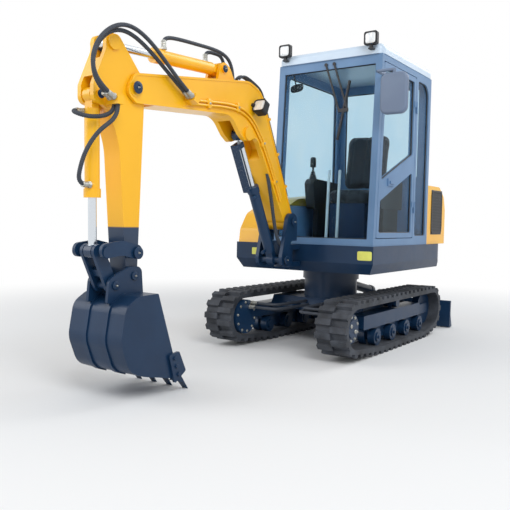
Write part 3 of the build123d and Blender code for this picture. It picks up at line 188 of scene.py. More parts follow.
def rubberFinish():
    # moulded rubber: dusty black with a fine grain
    m, tree, shader = newMaterial("trackRubber")
    dust = objectNoise(tree, 7.0, 6.0)
    colourBetween(tree, shader, dust.outputs["Fac"], srgb(32, 36, 43), srgb(72, 77, 86), 0.35, 0.75)
    roughBetween(tree, shader, dust.outputs["Fac"], 0.6, 0.85)
    grain = objectNoise(tree, 160.0, 6.0)
    bumpFrom(tree, shader, grain.outputs["Fac"], 0.25, 0.0015)
    return m


def chromeFinish():
    # ground and plated steel with a cloudy polish
    m, tree, shader = newMaterial("rodPlating")
    polish = objectNoise(tree, 60.0, 3.0)
    shader.inputs["Base Color"].default_value = plated
    shader.inputs["Metallic"].default_value = 1.0
    roughBetween(tree, shader, polish.outputs["Fac"], 0.1, 0.22)
    return m


def plasticFinish():
    # moulded black plastic with a leathery grain
    m, tree, shader = newMaterial("blackMoulding")
    tone = objectNoise(tree, 12.0)
    colourBetween(tree, shader, tone.outputs["Fac"], srgb(24, 26, 29), srgb(36, 38, 42))
    roughBetween(tree, shader, tone.outputs["Fac"], 0.45, 0.62)
    grain = objectNoise(tree, 300.0, 3.0)
    bumpFrom(tree, shader, grain.outputs["Fac"], 0.12, 0.0008)
    return m


def glassFinish():
    # pale blue safety glass with a faint film, clear enough to show the cab's inside
    m, tree, shader = newMaterial("cabGlass")
    film = objectNoise(tree, 3.0)
    colourBetween(tree, shader, film.outputs["Fac"], srgb(208, 229, 240), srgb(218, 234, 241))
    roughBetween(tree, shader, film.outputs["Fac"], 0.01, 0.03)
    shader.inputs["IOR"].default_value = 1.1
    shader.inputs["Transmission Weight"].default_value = 1.0
    shader.inputs["Specular IOR Level"].default_value = 0.9
    return m


def clothFinish():
    # woven seat cover
    m, tree, shader = newMaterial("seatWeave")
    weave = objectNoise(tree, 260.0, 2.0)
    colourBetween(tree, shader, weave.outputs["Fac"], srgb(30, 32, 37), srgb(58, 61, 68))
    bumpFrom(tree, shader, weave.outputs["Fac"], 0.3, 0.001)
    shader.inputs["Roughness"].default_value = 0.9
    shader.inputs["Sheen Weight"].default_value = 0.3
    return m


def hoseFinish():
    # braided sheath: dark blue-grey with a fine weave
    m, tree, shader = newMaterial("hoseSheath")
    weave = objectNoise(tree, 320.0, 2.0)
    colourBetween(tree, shader, weave.outputs["Fac"], srgb(34, 38, 46), srgb(62, 70, 82))
    roughBetween(tree, shader, weave.outputs["Fac"], 0.5, 0.75)
    bumpFrom(tree, shader, weave.outputs["Fac"], 0.25, 0.0008)
    return m


def steelFinish():
    # zinc plated fasteners and pipes with a cloudy bloom
    m, tree, shader = newMaterial("zincPlate")
    bloom = objectNoise(tree, 40.0, 5.0)
    colourBetween(tree, shader, bloom.outputs["Fac"], srgb(150, 152, 150), srgb(196, 196, 188))
    shader.inputs["Metallic"].default_value = 0.9
    roughBetween(tree, shader, bloom.outputs["Fac"], 0.28, 0.5)
    return m


def lensFinish():
    # lamp lens: upright flutes on an opaque moulding; its near-white colour is a painted reflection of the
    # bright bowl behind the lens, and the lighter stripes along the flutes are painted glints
    m, tree, shader = newMaterial("lampLens")
    flutesAndGlints = objectNoise(tree, 90.0, 0.0, 0.5, (0.2, 3.0, 0.2))
    # painted reflection and painted glints: near-white tones striped along the flutes
    colourBetween(tree, shader, flutesAndGlints.outputs["Fac"], srgb(206, 214, 220), srgb(246, 248, 248))
    shader.inputs["Roughness"].default_value = 0.08
    shader.inputs["Coat Weight"].default_value = 1.0
    bumpFrom(tree, shader, flutesAndGlints.outputs["Fac"], 0.5, 0.002)
    return m


def mirrorFinish():
    # silvered glass with a slight haze
    m, tree, shader = newMaterial("mirrorGlass")
    haze = objectNoise(tree, 14.0)
    shader.inputs["Metallic"].default_value = 1.0
    colourBetween(tree, shader, haze.outputs["Fac"], srgb(196, 206, 214), srgb(214, 222, 228))
    roughBetween(tree, shader, haze.outputs["Fac"], 0.03, 0.08)
    return m


def signFinish():
    # blank reflective sign plate; its fine sparkle is painted glints, fine cells of lighter yellow in the
    # colour
    m, tree, shader = newMaterial("blankSign")
    glintCells = objectNoise(tree, 240.0, 1.0)
    # painted glints: fine cells of lighter yellow, which also set the roughness
    colourBetween(tree, shader, glintCells.outputs["Fac"], srgb(212, 214, 92), srgb(226, 226, 118))
    roughBetween(tree, shader, glintCells.outputs["Fac"], 0.35, 0.55)
    return m


materials["hose_cover"] = hoseFinish()
extras = {"steel": steelFinish(), "lens": lensFinish(), "mirror": mirrorFinish(), "sign": signFinish()}


def colourByHeight(name, level, low, high, blend=0.004):
    # two enamels on one casting, parted at a height above the ground; both keep their own drift
    m, tree, shader = newMaterial(name)
    coord = tree.nodes.new("ShaderNodeTexCoord")
    parts = tree.nodes.new("ShaderNodeSeparateXYZ")
    tree.links.new(coord.outputs["Object"], parts.inputs[0])
    edge = tree.nodes.new("ShaderNodeMapRange")
    edge.inputs["From Min"].default_value = level - blend
    edge.inputs["From Max"].default_value = level + blend
    tree.links.new(parts.outputs["Z"], edge.inputs["Value"])
    drift = objectNoise(tree, 2.2)
    tones = []
    for pair in (low, high):
        ramp = tree.nodes.new("ShaderNodeValToRGB")
        ramp.color_ramp.elements[0].color, ramp.color_ramp.elements[1].color = pair
        tree.links.new(drift.outputs["Fac"], ramp.inputs["Fac"])
        tones.append(ramp)
    mix = tree.nodes.new("ShaderNodeMix")
    mix.data_type = "RGBA"
    tree.links.new(edge.outputs["Result"], mix.inputs["Factor"])
    tree.links.new(tones[0].outputs["Color"], mix.inputs["A"])
    tree.links.new(tones[1].outputs["Color"], mix.inputs["B"])
    tree.links.new(mix.outputs["Result"], shader.inputs["Base Color"])
    enamel(tree, shader, (0.3, 0.46), 0.2)
    return m


def rodFinish(name, root, along, radius):
    # plated steel near the rod's axis and dark enamel on the eye and guard that stand off it
    m, tree, shader = newMaterial(name)
    coord = tree.nodes.new("ShaderNodeTexCoord")
    shift = tree.nodes.new("ShaderNodeVectorMath")
    shift.operation = "SUBTRACT"
    shift.inputs[1].default_value = root
    tree.links.new(coord.outputs["Object"], shift.inputs[0])
    offAxis = tree.nodes.new("ShaderNodeVectorMath")
    offAxis.operation = "CROSS_PRODUCT"
    offAxis.inputs[1].default_value = along / np.linalg.norm(along)
    tree.links.new(shift.outputs[0], offAxis.inputs[0])
    distance = tree.nodes.new("ShaderNodeVectorMath")
    distance.operation = "LENGTH"
    tree.links.new(offAxis.outputs[0], distance.inputs[0])
    off = tree.nodes.new("ShaderNodeMapRange")
    off.inputs["From Min"].default_value = radius
    off.inputs["From Max"].default_value = radius + 0.0005
    tree.links.new(distance.outputs["Value"], off.inputs["Value"])
    mix = tree.nodes.new("ShaderNodeMix")
    mix.data_type = "RGBA"
    tree.links.new(off.outputs["Result"], mix.inputs["Factor"])
    mix.inputs["A"].default_value = plated
    mix.inputs["B"].default_value = srgb(17, 46, 76)
    tree.links.new(mix.outputs["Result"], shader.inputs["Base Color"])
    metal = tree.nodes.new("ShaderNodeMath")
    metal.operation = "SUBTRACT"
    metal.inputs[0].default_value = 1.0
    tree.links.new(off.outputs["Result"], metal.inputs[1])
    tree.links.new(metal.outputs[0], shader.inputs["Metallic"])
    haze = objectNoise(tree, 60.0, 3.0)
    spread = tree.nodes.new("ShaderNodeMath")
    spread.operation = "MULTIPLY_ADD"
    tree.links.new(off.outputs["Result"], spread.inputs[0])
    spread.inputs[1].default_value = 0.3
    tree.links.new(haze.outputs["Fac"], spread.inputs[2])
    roughBetween(tree, shader, spread.outputs[0], 0.08, 0.3)
    return m


materials["track_rubber"] = rubberFinish()
materials["rod_chrome"] = chromeFinish()
materials["black_plastic"] = plasticFinish()
materials["cab_glass"] = glassFinish()
materials["seat_cover"] = clothFinish()

# nodes: the slot's finish, or one of their own
joints = frame["record"]["behaviour"]["joints"]
places = {j["name"]: np.array(j["pos_m"]) for j in joints if "pos_m" in j}
rodAxes = {j["name"]: np.array(j["axis"]) for j in joints if j["name"].endswith("_rod")}
slotOf = {s["node"]: s["material_slot"] for s in frame["record"]["subparts"]}
dress = {"armSplit": 1.005, "rodRadius": 0.0255}
own = {
    "arm": colourByHeight("armTwoTone", dress["armSplit"], ink, amber),
    "travel_levers": paint("palePaint", paleGrey, (0.3, 0.45)),
    "side_mirror": paint("mirrorShell", shellGrey, (0.45, 0.6), 0.05),
}
for rodName, rodAxis in rodAxes.items():
    own[rodName] = rodFinish(rodName, places[rodName.replace("rod", "barrel")], rodAxis, dress["rodRadius"])
for nodeName, nodePiece in nodes.items():
    nodePiece.data.materials.clear()
    nodePiece.data.materials.append(own.get(nodeName) or materials[slotOf[nodeName]])
print("materials:", len(bpy.data.materials))


# shared builders: every new piece is a numpy surface on a grid of two parameters

def vec(*parts):
    return np.array(parts, float)


def gridQuads(rows, cols, wrap=True):
    # quads between neighbouring rows and columns; the last column meets the first when wrap is set
    i, j = np.meshgrid(np.arange(rows - 1), np.arange(cols if wrap else cols - 1), indexing="ij")
    k = (j + 1) % cols
    return np.stack([i * cols + j, i * cols + k, (i + 1) * cols + k, (i + 1) * cols + j], -1).reshape(-1, 4)


def makePiece(name, points, quads, materialName, body=None, smooth=True, shade=None):
    # welds doubled points, turns the faces outwards and hangs the piece on its body
    mesh = bpy.data.meshes.new(name)
    mesh.from_pydata(points.reshape(-1, 3).tolist(), [], quads.tolist())
    work = bmesh.new()
    work.from_mesh(mesh)
    bmesh.ops.remove_doubles(work, verts=work.verts, dist=1e-6)
    bmesh.ops.recalc_face_normals(work, faces=work.faces)
    work.to_mesh(mesh)
    work.free()
    mesh.polygons.foreach_set("use_smooth", np.full(len(mesh.polygons), smooth))
    if smooth:
        mesh.set_sharp_from_angle(angle=math.radians(38))
    mesh.materials.append(shade or materials[materialName])
    piece = bpy.data.objects.new(name, mesh)
    scene.collection.objects.link(piece)
    if body:
        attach(piece, body)
    return piece


def across(axis):
    # two unit vectors square to each axis of an array of axes
    axis = axis / np.linalg.norm(axis, axis=-1, keepdims=True)
    guide = np.where(np.abs(axis[..., 2:3]) > 0.9, np.array([1.0, 0, 0]), np.array([0, 0, 1.0]))
    first = np.cross(axis, guide)
    first /= np.linalg.norm(first, axis=-1, keepdims=True)
    return first, np.cross(axis, first), axis


def revolved(name, profile, spots, axes, sides, materialName, body, smooth=True, shade=None):
    # profile of (radius, height) pairs turned about each axis at each spot: spot + h a + r (cos t e + sin t f)
    profile = np.asarray(profile, float)
    spots = np.atleast_2d(np.asarray(spots, float))
    axes = np.broadcast_to(np.asarray(axes, float), spots.shape)
    first, second, axis = across(axes)
    t = np.linspace(0, 2 * np.pi, sides, endpoint=False)
    c, s = np.cos(t)[:, None], np.sin(t)[:, None]
    ring = c * first[:, None, None] + s * second[:, None, None]
    points = spots[:, None, None] + profile[:, None, 1:2] * axis[:, None, None] + profile[:, None, 0:1] * ring
    quads = gridQuads(len(profile), sides)
    count = len(profile) * sides
    quads = (quads[None] + count * np.arange(len(spots))[:, None, None]).reshape(-1, 4)
    return makePiece(name, points, quads, materialName, body, smooth, shade)


def splinePath(corners, count):
    # clamped cubic B-spline drawn by its control points, so that it rounds each corner of the route
    corners = np.asarray(corners, float)
    degree = min(3, len(corners) - 1)
    inner = np.linspace(0, 1, len(corners) - degree + 1)
    knots = np.concatenate([np.zeros(degree), inner, np.ones(degree)])
    u = np.linspace(0, 1 - 1e-9, count)
    basis = ((knots[None, :-1] <= u[:, None]) & (u[:, None] < knots[None, 1:])).astype(float)
    for p in range(1, degree + 1):
        left = knots[p:-1] - knots[:-p - 1]
        right = knots[p + 1:] - knots[1:-p]
        zero = np.zeros((count, len(left)))
        a = np.divide(u[:, None] - knots[None, :-p - 1], left, out=zero.copy(), where=left > 0)
        b = np.divide(knots[None, p + 1:] - u[:, None], right, out=zero.copy(), where=right > 0)
        basis = a * basis[:, :-1] + b * basis[:, 1:]
    return basis @ corners


def tube(name, path, radius, sides, materialName, body=None, square=(0, 1, 0), wave=0.0, pitch=0.02, turns=0):
    # round section carried along a path; the radius swells by a helical wave of the given pitch
    step = np.gradient(path, axis=0)
    along = step / np.linalg.norm(step, axis=1, keepdims=True)
    side = np.asarray(square, float) - along * (along @ np.asarray(square, float))[:, None]
    side /= np.linalg.norm(side, axis=1, keepdims=True)
    up = np.cross(along, side)
    run = np.concatenate([[0], np.cumsum(np.linalg.norm(np.diff(path, axis=0), axis=1))])
    t = np.linspace(0, 2 * np.pi, sides, endpoint=False)
    r = radius * (1 + wave * np.cos(2 * np.pi * run[:, None] / pitch - turns * t[None]))
    c, s = np.cos(t)[:, None], np.sin(t)[:, None]
    points = path[:, None] + r[..., None] * (c * side[:, None] + s * up[:, None])
    caps = np.repeat(path[[0, -1], None], sides, 1)
    closed = np.concatenate([caps[:1], points, caps[1:]])
    return makePiece(name, closed, gridQuads(len(closed), sides), materialName, body)


def turned(point, angle):
    # side view vector (forward, up) turned by an angle, as a point in the frame
    c, s = math.cos(math.radians(angle)), math.sin(math.radians(angle))
    return np.array([point[0] * c - point[1] * s, 0, point[0] * s + point[1] * c])


boomFoot, armRoot, bucketPin = places["boom"], places["arm"], places["bucket"]
boomAngle = 23.65      # the boom's line from foot to tip, above level


def onBoom(x, z, y=0.0):
    return boomFoot + turned((x, z), boomAngle) + vec(0, y, 0)


def onArm(down, forward, y=0.0):
    return armRoot + vec(forward, y, -down)


# hoses: sheathed tubes that stand for the plain ones of the solid model
sheath = {"wave": 0.07, "pitch": 0.011, "turns": 1}
armHoses = {"radius": 0.012, "y": 0.114, "pitch": 0.03, "boomEnd": (1.467, 0.19), "armEnd": (0.106, 0.193)}


def armHoseEnds(spec, i):
    y = spec["y"] + spec["pitch"] * i
    return onBoom(*spec["boomEnd"], y), onArm(*spec["armEnd"], y)


def makeArmHoses(spec):
    # out along the boom, in a loop over the arm's head and back to the block on the arm
    for i in range(2):
        start, end = armHoseEnds(spec, i)
        grow = spec["pitch"] * i
        route = [start, start + turned((0.2, 0.02), boomAngle), start + turned((0.42, 0.06 + grow), boomAngle),
                 armRoot + vec(0.15, spec["y"] + grow, 0.33 + grow), end + vec(0.15 + grow, 0, 0.29),
                 end + vec(0.17 + grow, 0, 0.09), end + vec(0.05, 0, 0.02), end]
        piece = tube(f"armHose{i}", splinePath(route, 420), spec["radius"], 14, "hose_cover", **sheath)
        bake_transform(piece)
        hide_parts("arm_hoses")


makeArmHoses(armHoses)
liftHoses = {"radius": 0.0138, "y": 0.074, "post": (0.046, 0, -0.206), "belly": (0.43, 0.21),
             "wave": 0.1, "pitch": 0.012}


def makeLiftHoses(spec):
    # from the swing post's face up to the boom's belly, one each side of the lift cylinder
    for i, sign in enumerate((-1, 1)):
        foot = boomFoot + vec(0, sign * spec["y"], 0)
        start = foot + vec(*spec["post"])
        end = onBoom(*spec["belly"], sign * spec["y"])
        route = [start, start + vec(0.07, 0, 0.01), foot + vec(0.2, 0, -0.05), foot + vec(0.235, 0, 0.15), end]
        piece = tube(f"liftHose{i}", splinePath(route, 300), spec["radius"], 14, "hose_cover",
                     wave=spec["wave"], pitch=spec["pitch"])
        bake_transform(piece)
        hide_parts("boom_hoses")


makeLiftHoses(liftHoses)
cylinderHoses = {"radius": 0.012, "lean": -3.34, "ports": ((0.095, -0.026), (0.570, 0.026)), "portTop": 0.067,
                 "rise": (0.048, 0.060), "behind": (0.12, 0.15), "landing": ((1.037, 0.564), (1.007, 0.564))}


def portSpots(root, spec, depth):
    # points at a depth below the barrel's port faces
    return [root + turned((along, spec["portTop"] - depth), spec["lean"]) + vec(0, side, 0)
            for along, side in spec["ports"]]


def makeCylinderHoses(spec):
    # up out of each port, back over the barrel's foot and down to the boom's top
    root, lean = places["arm_barrel"], spec["lean"]
    for i, port in enumerate(portSpots(root, spec, 0)):
        side, rise = spec["ports"][i][1], spec["rise"][i]
        lift = port + turned((0, rise), lean)
        back = root + turned((-spec["behind"][i], spec["portTop"] + rise), lean) + vec(0, side, 0)
        landing = onBoom(*spec["landing"][i], side)
        route = [port, port + turned((0, 0.6 * rise), lean), lift + turned((-0.03, 0.004), lean),
                 lift + (back - lift) * 0.5, back, landing + (back - landing) * 0.4, landing]
        piece = tube(f"cylinderHose{i}", splinePath(route, 300), spec["radius"], 14, "hose_cover", "arm_barrel",
                     **sheath)
        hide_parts("cylinder_hoses")


makeCylinderHoses(cylinderHoses)
travelHoses = {"radius": 0.012, "high": 0.365, "motor": 0.714, "y": 0.1, "pitch": 0.03,
               "end": 0.376, "collar": 0.358}


def makeTravelHoses(spec):
    # from under the swivel along the car body, then square out to each motor
    for i in range(2):
        step = spec["pitch"] * i
        x, y, z = spec["motor"] + step, spec["y"] - step, spec["high"] - step
        route = np.array([(0.2, y, z), (0.4, y + 0.012, z), (x - 0.12, y + 0.025, z), (x, y + 0.03, z),
                          (x, y + 0.14, z), (x, 0.3, z), (x, spec["end"], z)])
        for sign, side in ((-1, "Right"), (1, "Left")):
            path = splinePath(route * vec(1, sign, 1), 240)
            piece = tube(f"travelHose{side}{i}", path, spec["radius"], 12, "hose_cover", "undercarriage",
                         square=(0, 0, 1), **sheath)
            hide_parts("travel_hoses")


makeTravelHoses(travelHoses)
print("hoses made")


# crimped hose ends: a round ferrule with two pressed grooves and a six-sided nut, as (radius, height)
collarShapes = {
    "ferrule": ((0, 0), (0.0155, 0), (0.0165, 0.004), (0.0165, 0.012), (0.015, 0.015), (0.0165, 0.018),
                (0.0165, 0.026), (0.015, 0.029), (0.0165, 0.032), (0.0155, 0.042), (0, 0.042)),
    "nut": ((0, -0.016), (0.019, -0.016), (0.0205, -0.014), (0.0205, -0.002), (0.019, 0.001), (0, 0.001)),
}


def collars(name, spots, axes, body):
    steel = extras["steel"]
    revolved(name + "Ferrules", collarShapes["ferrule"], spots, axes, 20, "rod_chrome", body, True, steel)
    revolved(name + "Nuts", collarShapes["nut"], spots, axes, 6, "rod_chrome", body, False, steel)


def makeCollars():
    ends = [armHoseEnds(armHoses, i) for i in range(2)]
    spots = [a + turned((0.04, 0.004), boomAngle) for a, b in ends]
    collars("boomBlock", spots, turned((1, 0.1), boomAngle), "boom")
    collars("armBlock", [b + vec(0.04, 0, 0.016) for a, b in ends], (1, 0, 0.4), "arm")
    spec = cylinderHoses
    spots = portSpots(places["arm_barrel"], spec, 0.012)
    collars("armBarrel", spots, turned((0, 1), spec["lean"]), "arm_barrel")
    spots = [onBoom(x, z + 0.002, side) for (x, z), (a, side) in zip(spec["landing"], spec["ports"])]
    collars("boomTop", spots, turned((0.4, 1), boomAngle), "boom")
    spec = travelHoses
    steps = [(spec["pitch"] * i, s) for i in range(2) for s in (-1, 1)]
    spots = [(spec["motor"] + step, s * spec["collar"], spec["high"] - step) for step, s in steps]
    collars("motor", spots, [(0, -s, 0) for step, s in steps], "undercarriage")


makeCollars()


# bolts: flanged hexagon heads of washer face, flats and chamfered top, as shares of the size
boltShape = ((0, -0.002), (1.45, -0.002), (1.45, 0.12), (1.0, 0.14), (1.0, 0.72), (0.9, 0.8), (0, 0.8))
boltSpec = {
    "drive": (0.785, 0.255),
    "sprocket": {"y": 0.603, "radius": 0.092, "count": 9, "start": 0.0, "size": 0.0095},
    "motor": {"y": 0.375, "radius": 0.122, "count": 10, "start": 0.2, "size": 0.009},
    "plugs": {"y": 0.613, "radius": 0.042, "count": 2, "start": 0.6},
    "plugShape": ((0, -0.001), (0.016, -0.001), (0.016, 0.005), (0.013, 0.008), (0.006, 0.008), (0.005, 0.003),
                  (0, 0.003)),
    "rollers": {"x": (0.300, -0.020, -0.340, -0.660), "y": 0.610, "z": 0.130, "size": 0.013},
    "cutter": {"y": 0.236, "lip": (-0.262, -0.640), "mouth": (-0.070, -0.100), "along": (0.04, 0.095, 0.15),
               "inset": 0.012, "size": 0.0125},
}


def bolts(name, spots, axes, size, body, shade=None):
    shape = [(r * size, h * size if h > 0 else h) for r, h in boltShape]
    revolved(name, shape, spots, axes, 6, "dark_paint", body, False, shade or extras["steel"])


def driveRing(spec, part, sign):
    # points on a circle about a drive's axle: centre + r (cos t, 0, sin t)
    t = 2 * np.pi * np.arange(part["count"]) / part["count"] + part["start"]
    x, z = spec["drive"]
    return vec(x, sign * part["y"], z) + part["radius"] * np.stack([np.cos(t), 0 * t, np.sin(t)], 1)


def makeBolts(spec):
    dark = materials["dark_paint"]
    sprocket, motor, rollers, cutter = (spec[k] for k in ("sprocket", "motor", "rollers", "cutter"))
    lip, mouth = np.array(cutter["lip"]), np.array(cutter["mouth"])
    along = (mouth - lip) / np.linalg.norm(mouth - lip)
    heads = [lip + along * d + vec(along[1], -along[0]) * cutter["inset"] for d in cutter["along"]]
    for sign, side in ((1, "Left"), (-1, "Right")):
        out = vec(0, sign, 0)
        bolts(f"sprocketBolts{side}", driveRing(spec, sprocket, sign), out, sprocket["size"], "undercarriage")
        bolts(f"motorBolts{side}", driveRing(spec, motor, sign), -out, motor["size"], "undercarriage")
        hubs = [(x, sign * rollers["y"], rollers["z"]) for x in rollers["x"]]
        bolts(f"rollerBolts{side}", hubs, out, rollers["size"], "undercarriage", dark)
        plugs = driveRing(spec, spec["plugs"], sign)
        revolved(f"hubPlugs{side}", spec["plugShape"], plugs, out, 18, "rod_chrome", "undercarriage", True,
                 extras["steel"])
        spots = [bucketPin + vec(x, sign * cutter["y"], z) for x, z in heads]
        bolts(f"cutterBolts{side}", spots, out, cutter["size"], "bucket", dark)


makeBolts(boltSpec)

# pin ends: a turned washer and a grease nipple each, smaller on the narrow pins
pinSpec = {
    "washer": ((0, -0.001), (0.034, -0.001), (0.036, 0.001), (0.036, 0.005), (0.033, 0.007), (0.016, 0.007),
               (0.015, 0.004), (0, 0.004)),
    "nipple": ((0, 0), (0.005, 0), (0.005, 0.004), (0.0035, 0.005), (0.0035, 0.009), (0.0045, 0.0105),
               (0.003, 0.013), (0, 0.0135)),
    "seat": 0.004,
    "narrow": 0.1,
    "narrowScale": 0.7,
    "pins": {
        "foot": ("boom", 0.139, "swing_post"), "liftFoot": ("boom_barrel", 0.139, "swing_post"),
        "tip": ("arm", 0.104, "boom"), "armCylinder": ("arm_barrel", 0.073, "boom"),
        "bucketCylinder": ("bucket_barrel", 0.075, "arm"), "rocker": ("rocker", 0.132, "rocker"),
        "bucket": ("bucket", 0.095, "bucket"), "link": ("push_link", 0.095, "bucket"),
    },
}


def makePinEnds(spec):
    axes = [(0, -1, 0), (0, 1, 0)]
    for name, (joint, half, body) in spec["pins"].items():
        spots = [places[joint] + vec(0, s * half, 0) for s in (-1, 1)]
        scale = spec["narrowScale"] if half < spec["narrow"] else 1.0
        washer = np.array(spec["washer"]) * scale
        revolved(f"{name}Washers", washer, spots, axes, 28, "dark_paint", body, True, materials["dark_paint"])
        nipple = np.array(spec["nipple"]) + vec(0, spec["seat"] * scale)
        revolved(f"{name}Nipples", nipple, spots, axes, 10, "rod_chrome", body, True, extras["steel"])


makePinEnds(pinSpec)
print("bolts and pin ends made")


def plate(name, profile, centre, out, up, halves, power, sides, materialName, body, shade=None):
    # closed superellipse body: rings of (share of the outline, height) with |a/A|^p + |b/B|^p = 1
    out, up = np.asarray(out, float), np.asarray(up, float)
    right = np.cross(up, out)
    t = np.linspace(0, 2 * np.pi, sides, endpoint=False)
    c, s = np.cos(t), np.sin(t)
    a = halves[0] * np.sign(c) * np.abs(c) ** (2 / power)
    b = halves[1] * np.sign(s) * np.abs(s) ** (2 / power)
    share = np.array([p[0] for p in profile])[:, None, None]
    high = np.array([p[1] for p in profile])[:, None, None]
    points = np.asarray(centre) + share * (a[None, :, None] * right + b[None, :, None] * up) + high * out
    return makePiece(name, points, gridQuads(len(profile), sides), materialName, body, True, shade)


# lamps: a domed lens behind a black rim
lamps = {
    "halves": (0.044, 0.041),
    "roof": ((0.520, -0.220, 2.496), (0.520, 0.565, 2.496)),
    "boom": (0.830, 0.553, 0.145),
    "lens": ((0, 0.007), (0.3, 0.0066), (0.6, 0.0052), (0.85, 0.003), (1, 0.0005), (1, -0.002), (0, -0.002)),
    "rim": ((1.0, -0.001), (1.0, 0.0045), (1.05, 0.006), (1.14, 0.006), (1.18, 0.003), (1.18, -0.001),
            (1.0, -0.001)),
}


def makeLamps(spec):
    faces = [(f"roofLamp{i}", spot, (1, 0, 0), (0, 0, 1), "house") for i, spot in enumerate(spec["roof"])]
    ahead, above = turned((1, 0), boomAngle), turned((0, 1), boomAngle)
    faces.append(("boomLampFace", onBoom(*spec["boom"]), ahead, above, "boom"))
    for name, centre, out, up, body in faces:
        where = (centre, out, up, spec["halves"], 5, 64)
        plate(name + "Lens", spec["lens"], *where, "cab_glass", body, extras["lens"])
        plate(name + "Rim", spec["rim"], *where, "black_plastic", body)


makeLamps(lamps)

mirror = {"centre": (0.579, 0.805, 2.035), "halves": (0.094, 0.141),
          "glass": ((0, 0.0025), (0.5, 0.0021), (0.9, 0.0009), (1, 0.0002), (1, -0.002), (0, -0.002))}
plate("mirrorGlass", mirror["glass"], mirror["centre"], (-1, 0, 0), (0, 0, 1), mirror["halves"], 4, 72,
      "cab_glass", "house", extras["mirror"])

# blank sign plates on the skirt's front
signs = {
    "shape": ((0, 0.0015), (0.98, 0.0015), (1, 0.0008), (1, -0.001), (0, -0.001)),
    "places": {"left": ((0.555, 0.582, 0.800), (0.062, 0.036)),
               "right": ((0.555, -0.457, 0.800), (0.033, 0.03))},
}
for signName, (signSpot, signHalves) in signs["places"].items():
    plate(signName + "Sign", signs["shape"], signSpot, (1, 0, 0), (0, 0, 1), signHalves, 9, 48,
          "yellow_paint", "house", extras["sign"])
print("lamps, mirror and signs made")


# window seals: rubber strips round every pane
seals = {"radius": 0.009, "count": 220, "sides": 10, "flat": 0.75,
         "bodies": {"windscreen": "house", "right_pane": "house", "rear_pane": "house",
                    "quarter_pane": "house", "door_panes": "door"}}


def islands(mesh):
    # labels of connected vertices, spread along edges until they stop changing
    edges = np.empty(len(mesh.edges) * 2, int)
    mesh.edges.foreach_get("vertices", edges)
    edges = edges.reshape(-1, 2)
    points = np.empty(len(mesh.vertices) * 3)
    mesh.vertices.foreach_get("co", points)
    points = points.reshape(-1, 3)
    same = np.unique(np.round(points, 5), axis=0, return_inverse=True)[1].ravel()
    edges = same[edges]
    label = np.arange(same.max() + 1)
    while True:
        low = np.minimum(label[edges[:, 0]], label[edges[:, 1]])
        fresh = label.copy()
        np.minimum.at(fresh, edges[:, 0], low)
        np.minimum.at(fresh, edges[:, 1], low)
        if (fresh == label).all():
            return points, label[same]
        label = fresh


def paneLoop(points, count):
    # outline of a flat pane: its points in order of angle about the middle, at even steps
    middle = points.mean(0)
    axes = np.linalg.svd(points - middle)[2]
    flat = np.unique(np.round((points - middle) @ axes[:2].T, 5), axis=0)
    centre = (flat.max(0) + flat.min(0)) / 2
    flat = flat[np.argsort(np.arctan2(*(flat - centre).T[::-1]))]
    flat = np.concatenate([flat, flat[:1]])
    run = np.concatenate([[0], np.cumsum(np.linalg.norm(np.diff(flat, axis=0), axis=1))])
    at = np.linspace(0, run[-1], count, endpoint=False)
    even = np.stack([np.interp(at, run, flat[:, 0]), np.interp(at, run, flat[:, 1])], 1)
    return middle + even @ axes[:2], axes[2]


def makeSeals(spec):
    # flattened round section carried round each pane's outline
    t = np.linspace(0, 2 * np.pi, spec["sides"], endpoint=False)
    c, s = np.cos(t)[:, None], np.sin(t)[:, None]
    for node, body in spec["bodies"].items():
        points, label = islands(nodes[node].data)
        for k, value in enumerate(np.unique(label)):
            loop, normal = paneLoop(points[label == value], spec["count"])
            ahead = np.roll(loop, -1, 0) - np.roll(loop, 1, 0)
            ahead /= np.linalg.norm(ahead, axis=1, keepdims=True)
            side = np.cross(ahead, normal)
            ring = loop[:, None] + spec["radius"] * (c * side[:, None] * spec["flat"] + s * normal)
            ring = np.concatenate([ring, ring[:1]])
            quads = gridQuads(len(ring), spec["sides"])
            makePiece(f"{node.replace('_', '')}Seal{k}", ring, quads, "black_plastic", body)


makeSeals(seals)
print("seals made")


# pipes and hoses on the boom and the arm that keep to one piece
pipes = {
    "radius": 0.0085, "y": 0.096, "pitch": 0.028,
    "route": ((1.445, 0.204), (1.36, 0.25), (1.2, 0.345), (1.0, 0.447), (0.85, 0.476), (0.72, 0.445),
              (0.5, 0.335), (0.2, 0.112)),
    "strap": ((0, 0.02), (0.7, 0.02), (0.95, 0.017), (1, 0.012), (1, -0.004), (0, -0.004)),
    "strapY": 0.087, "strapTop": 0.02, "strapHalves": (0.016, 0.032), "boltSize": 0.007,
    "straps": ((1.28, 0.297, -30), (0.99, 0.45, -26), (0.6, 0.386, 28), (0.33, 0.205, 34)),
}


def makePipes(spec):
    # two pipes along the boom's side under rounded straps, each with one bolt between the pipes
    for i in range(2):
        path = splinePath([onBoom(x, z - spec["pitch"] * i, spec["y"]) for x, z in spec["route"]], 260)
        tube(f"boomPipe{i}", path, spec["radius"], 14, "yellow_paint", "boom")
    heads = []
    for i, (x, z, angle) in enumerate(spec["straps"]):
        centre = onBoom(x, z - spec["pitch"] / 2, spec["strapY"])
        up = turned((0, 1), boomAngle + angle)
        plate(f"pipeStrap{i}", spec["strap"], centre, (0, 1, 0), up, spec["strapHalves"], 6, 40,
              "yellow_paint", "boom")
        heads.append(centre + vec(0, spec["strapTop"], 0))
    bolts("strapBolts", heads, (0, 1, 0), spec["boltSize"], "boom")


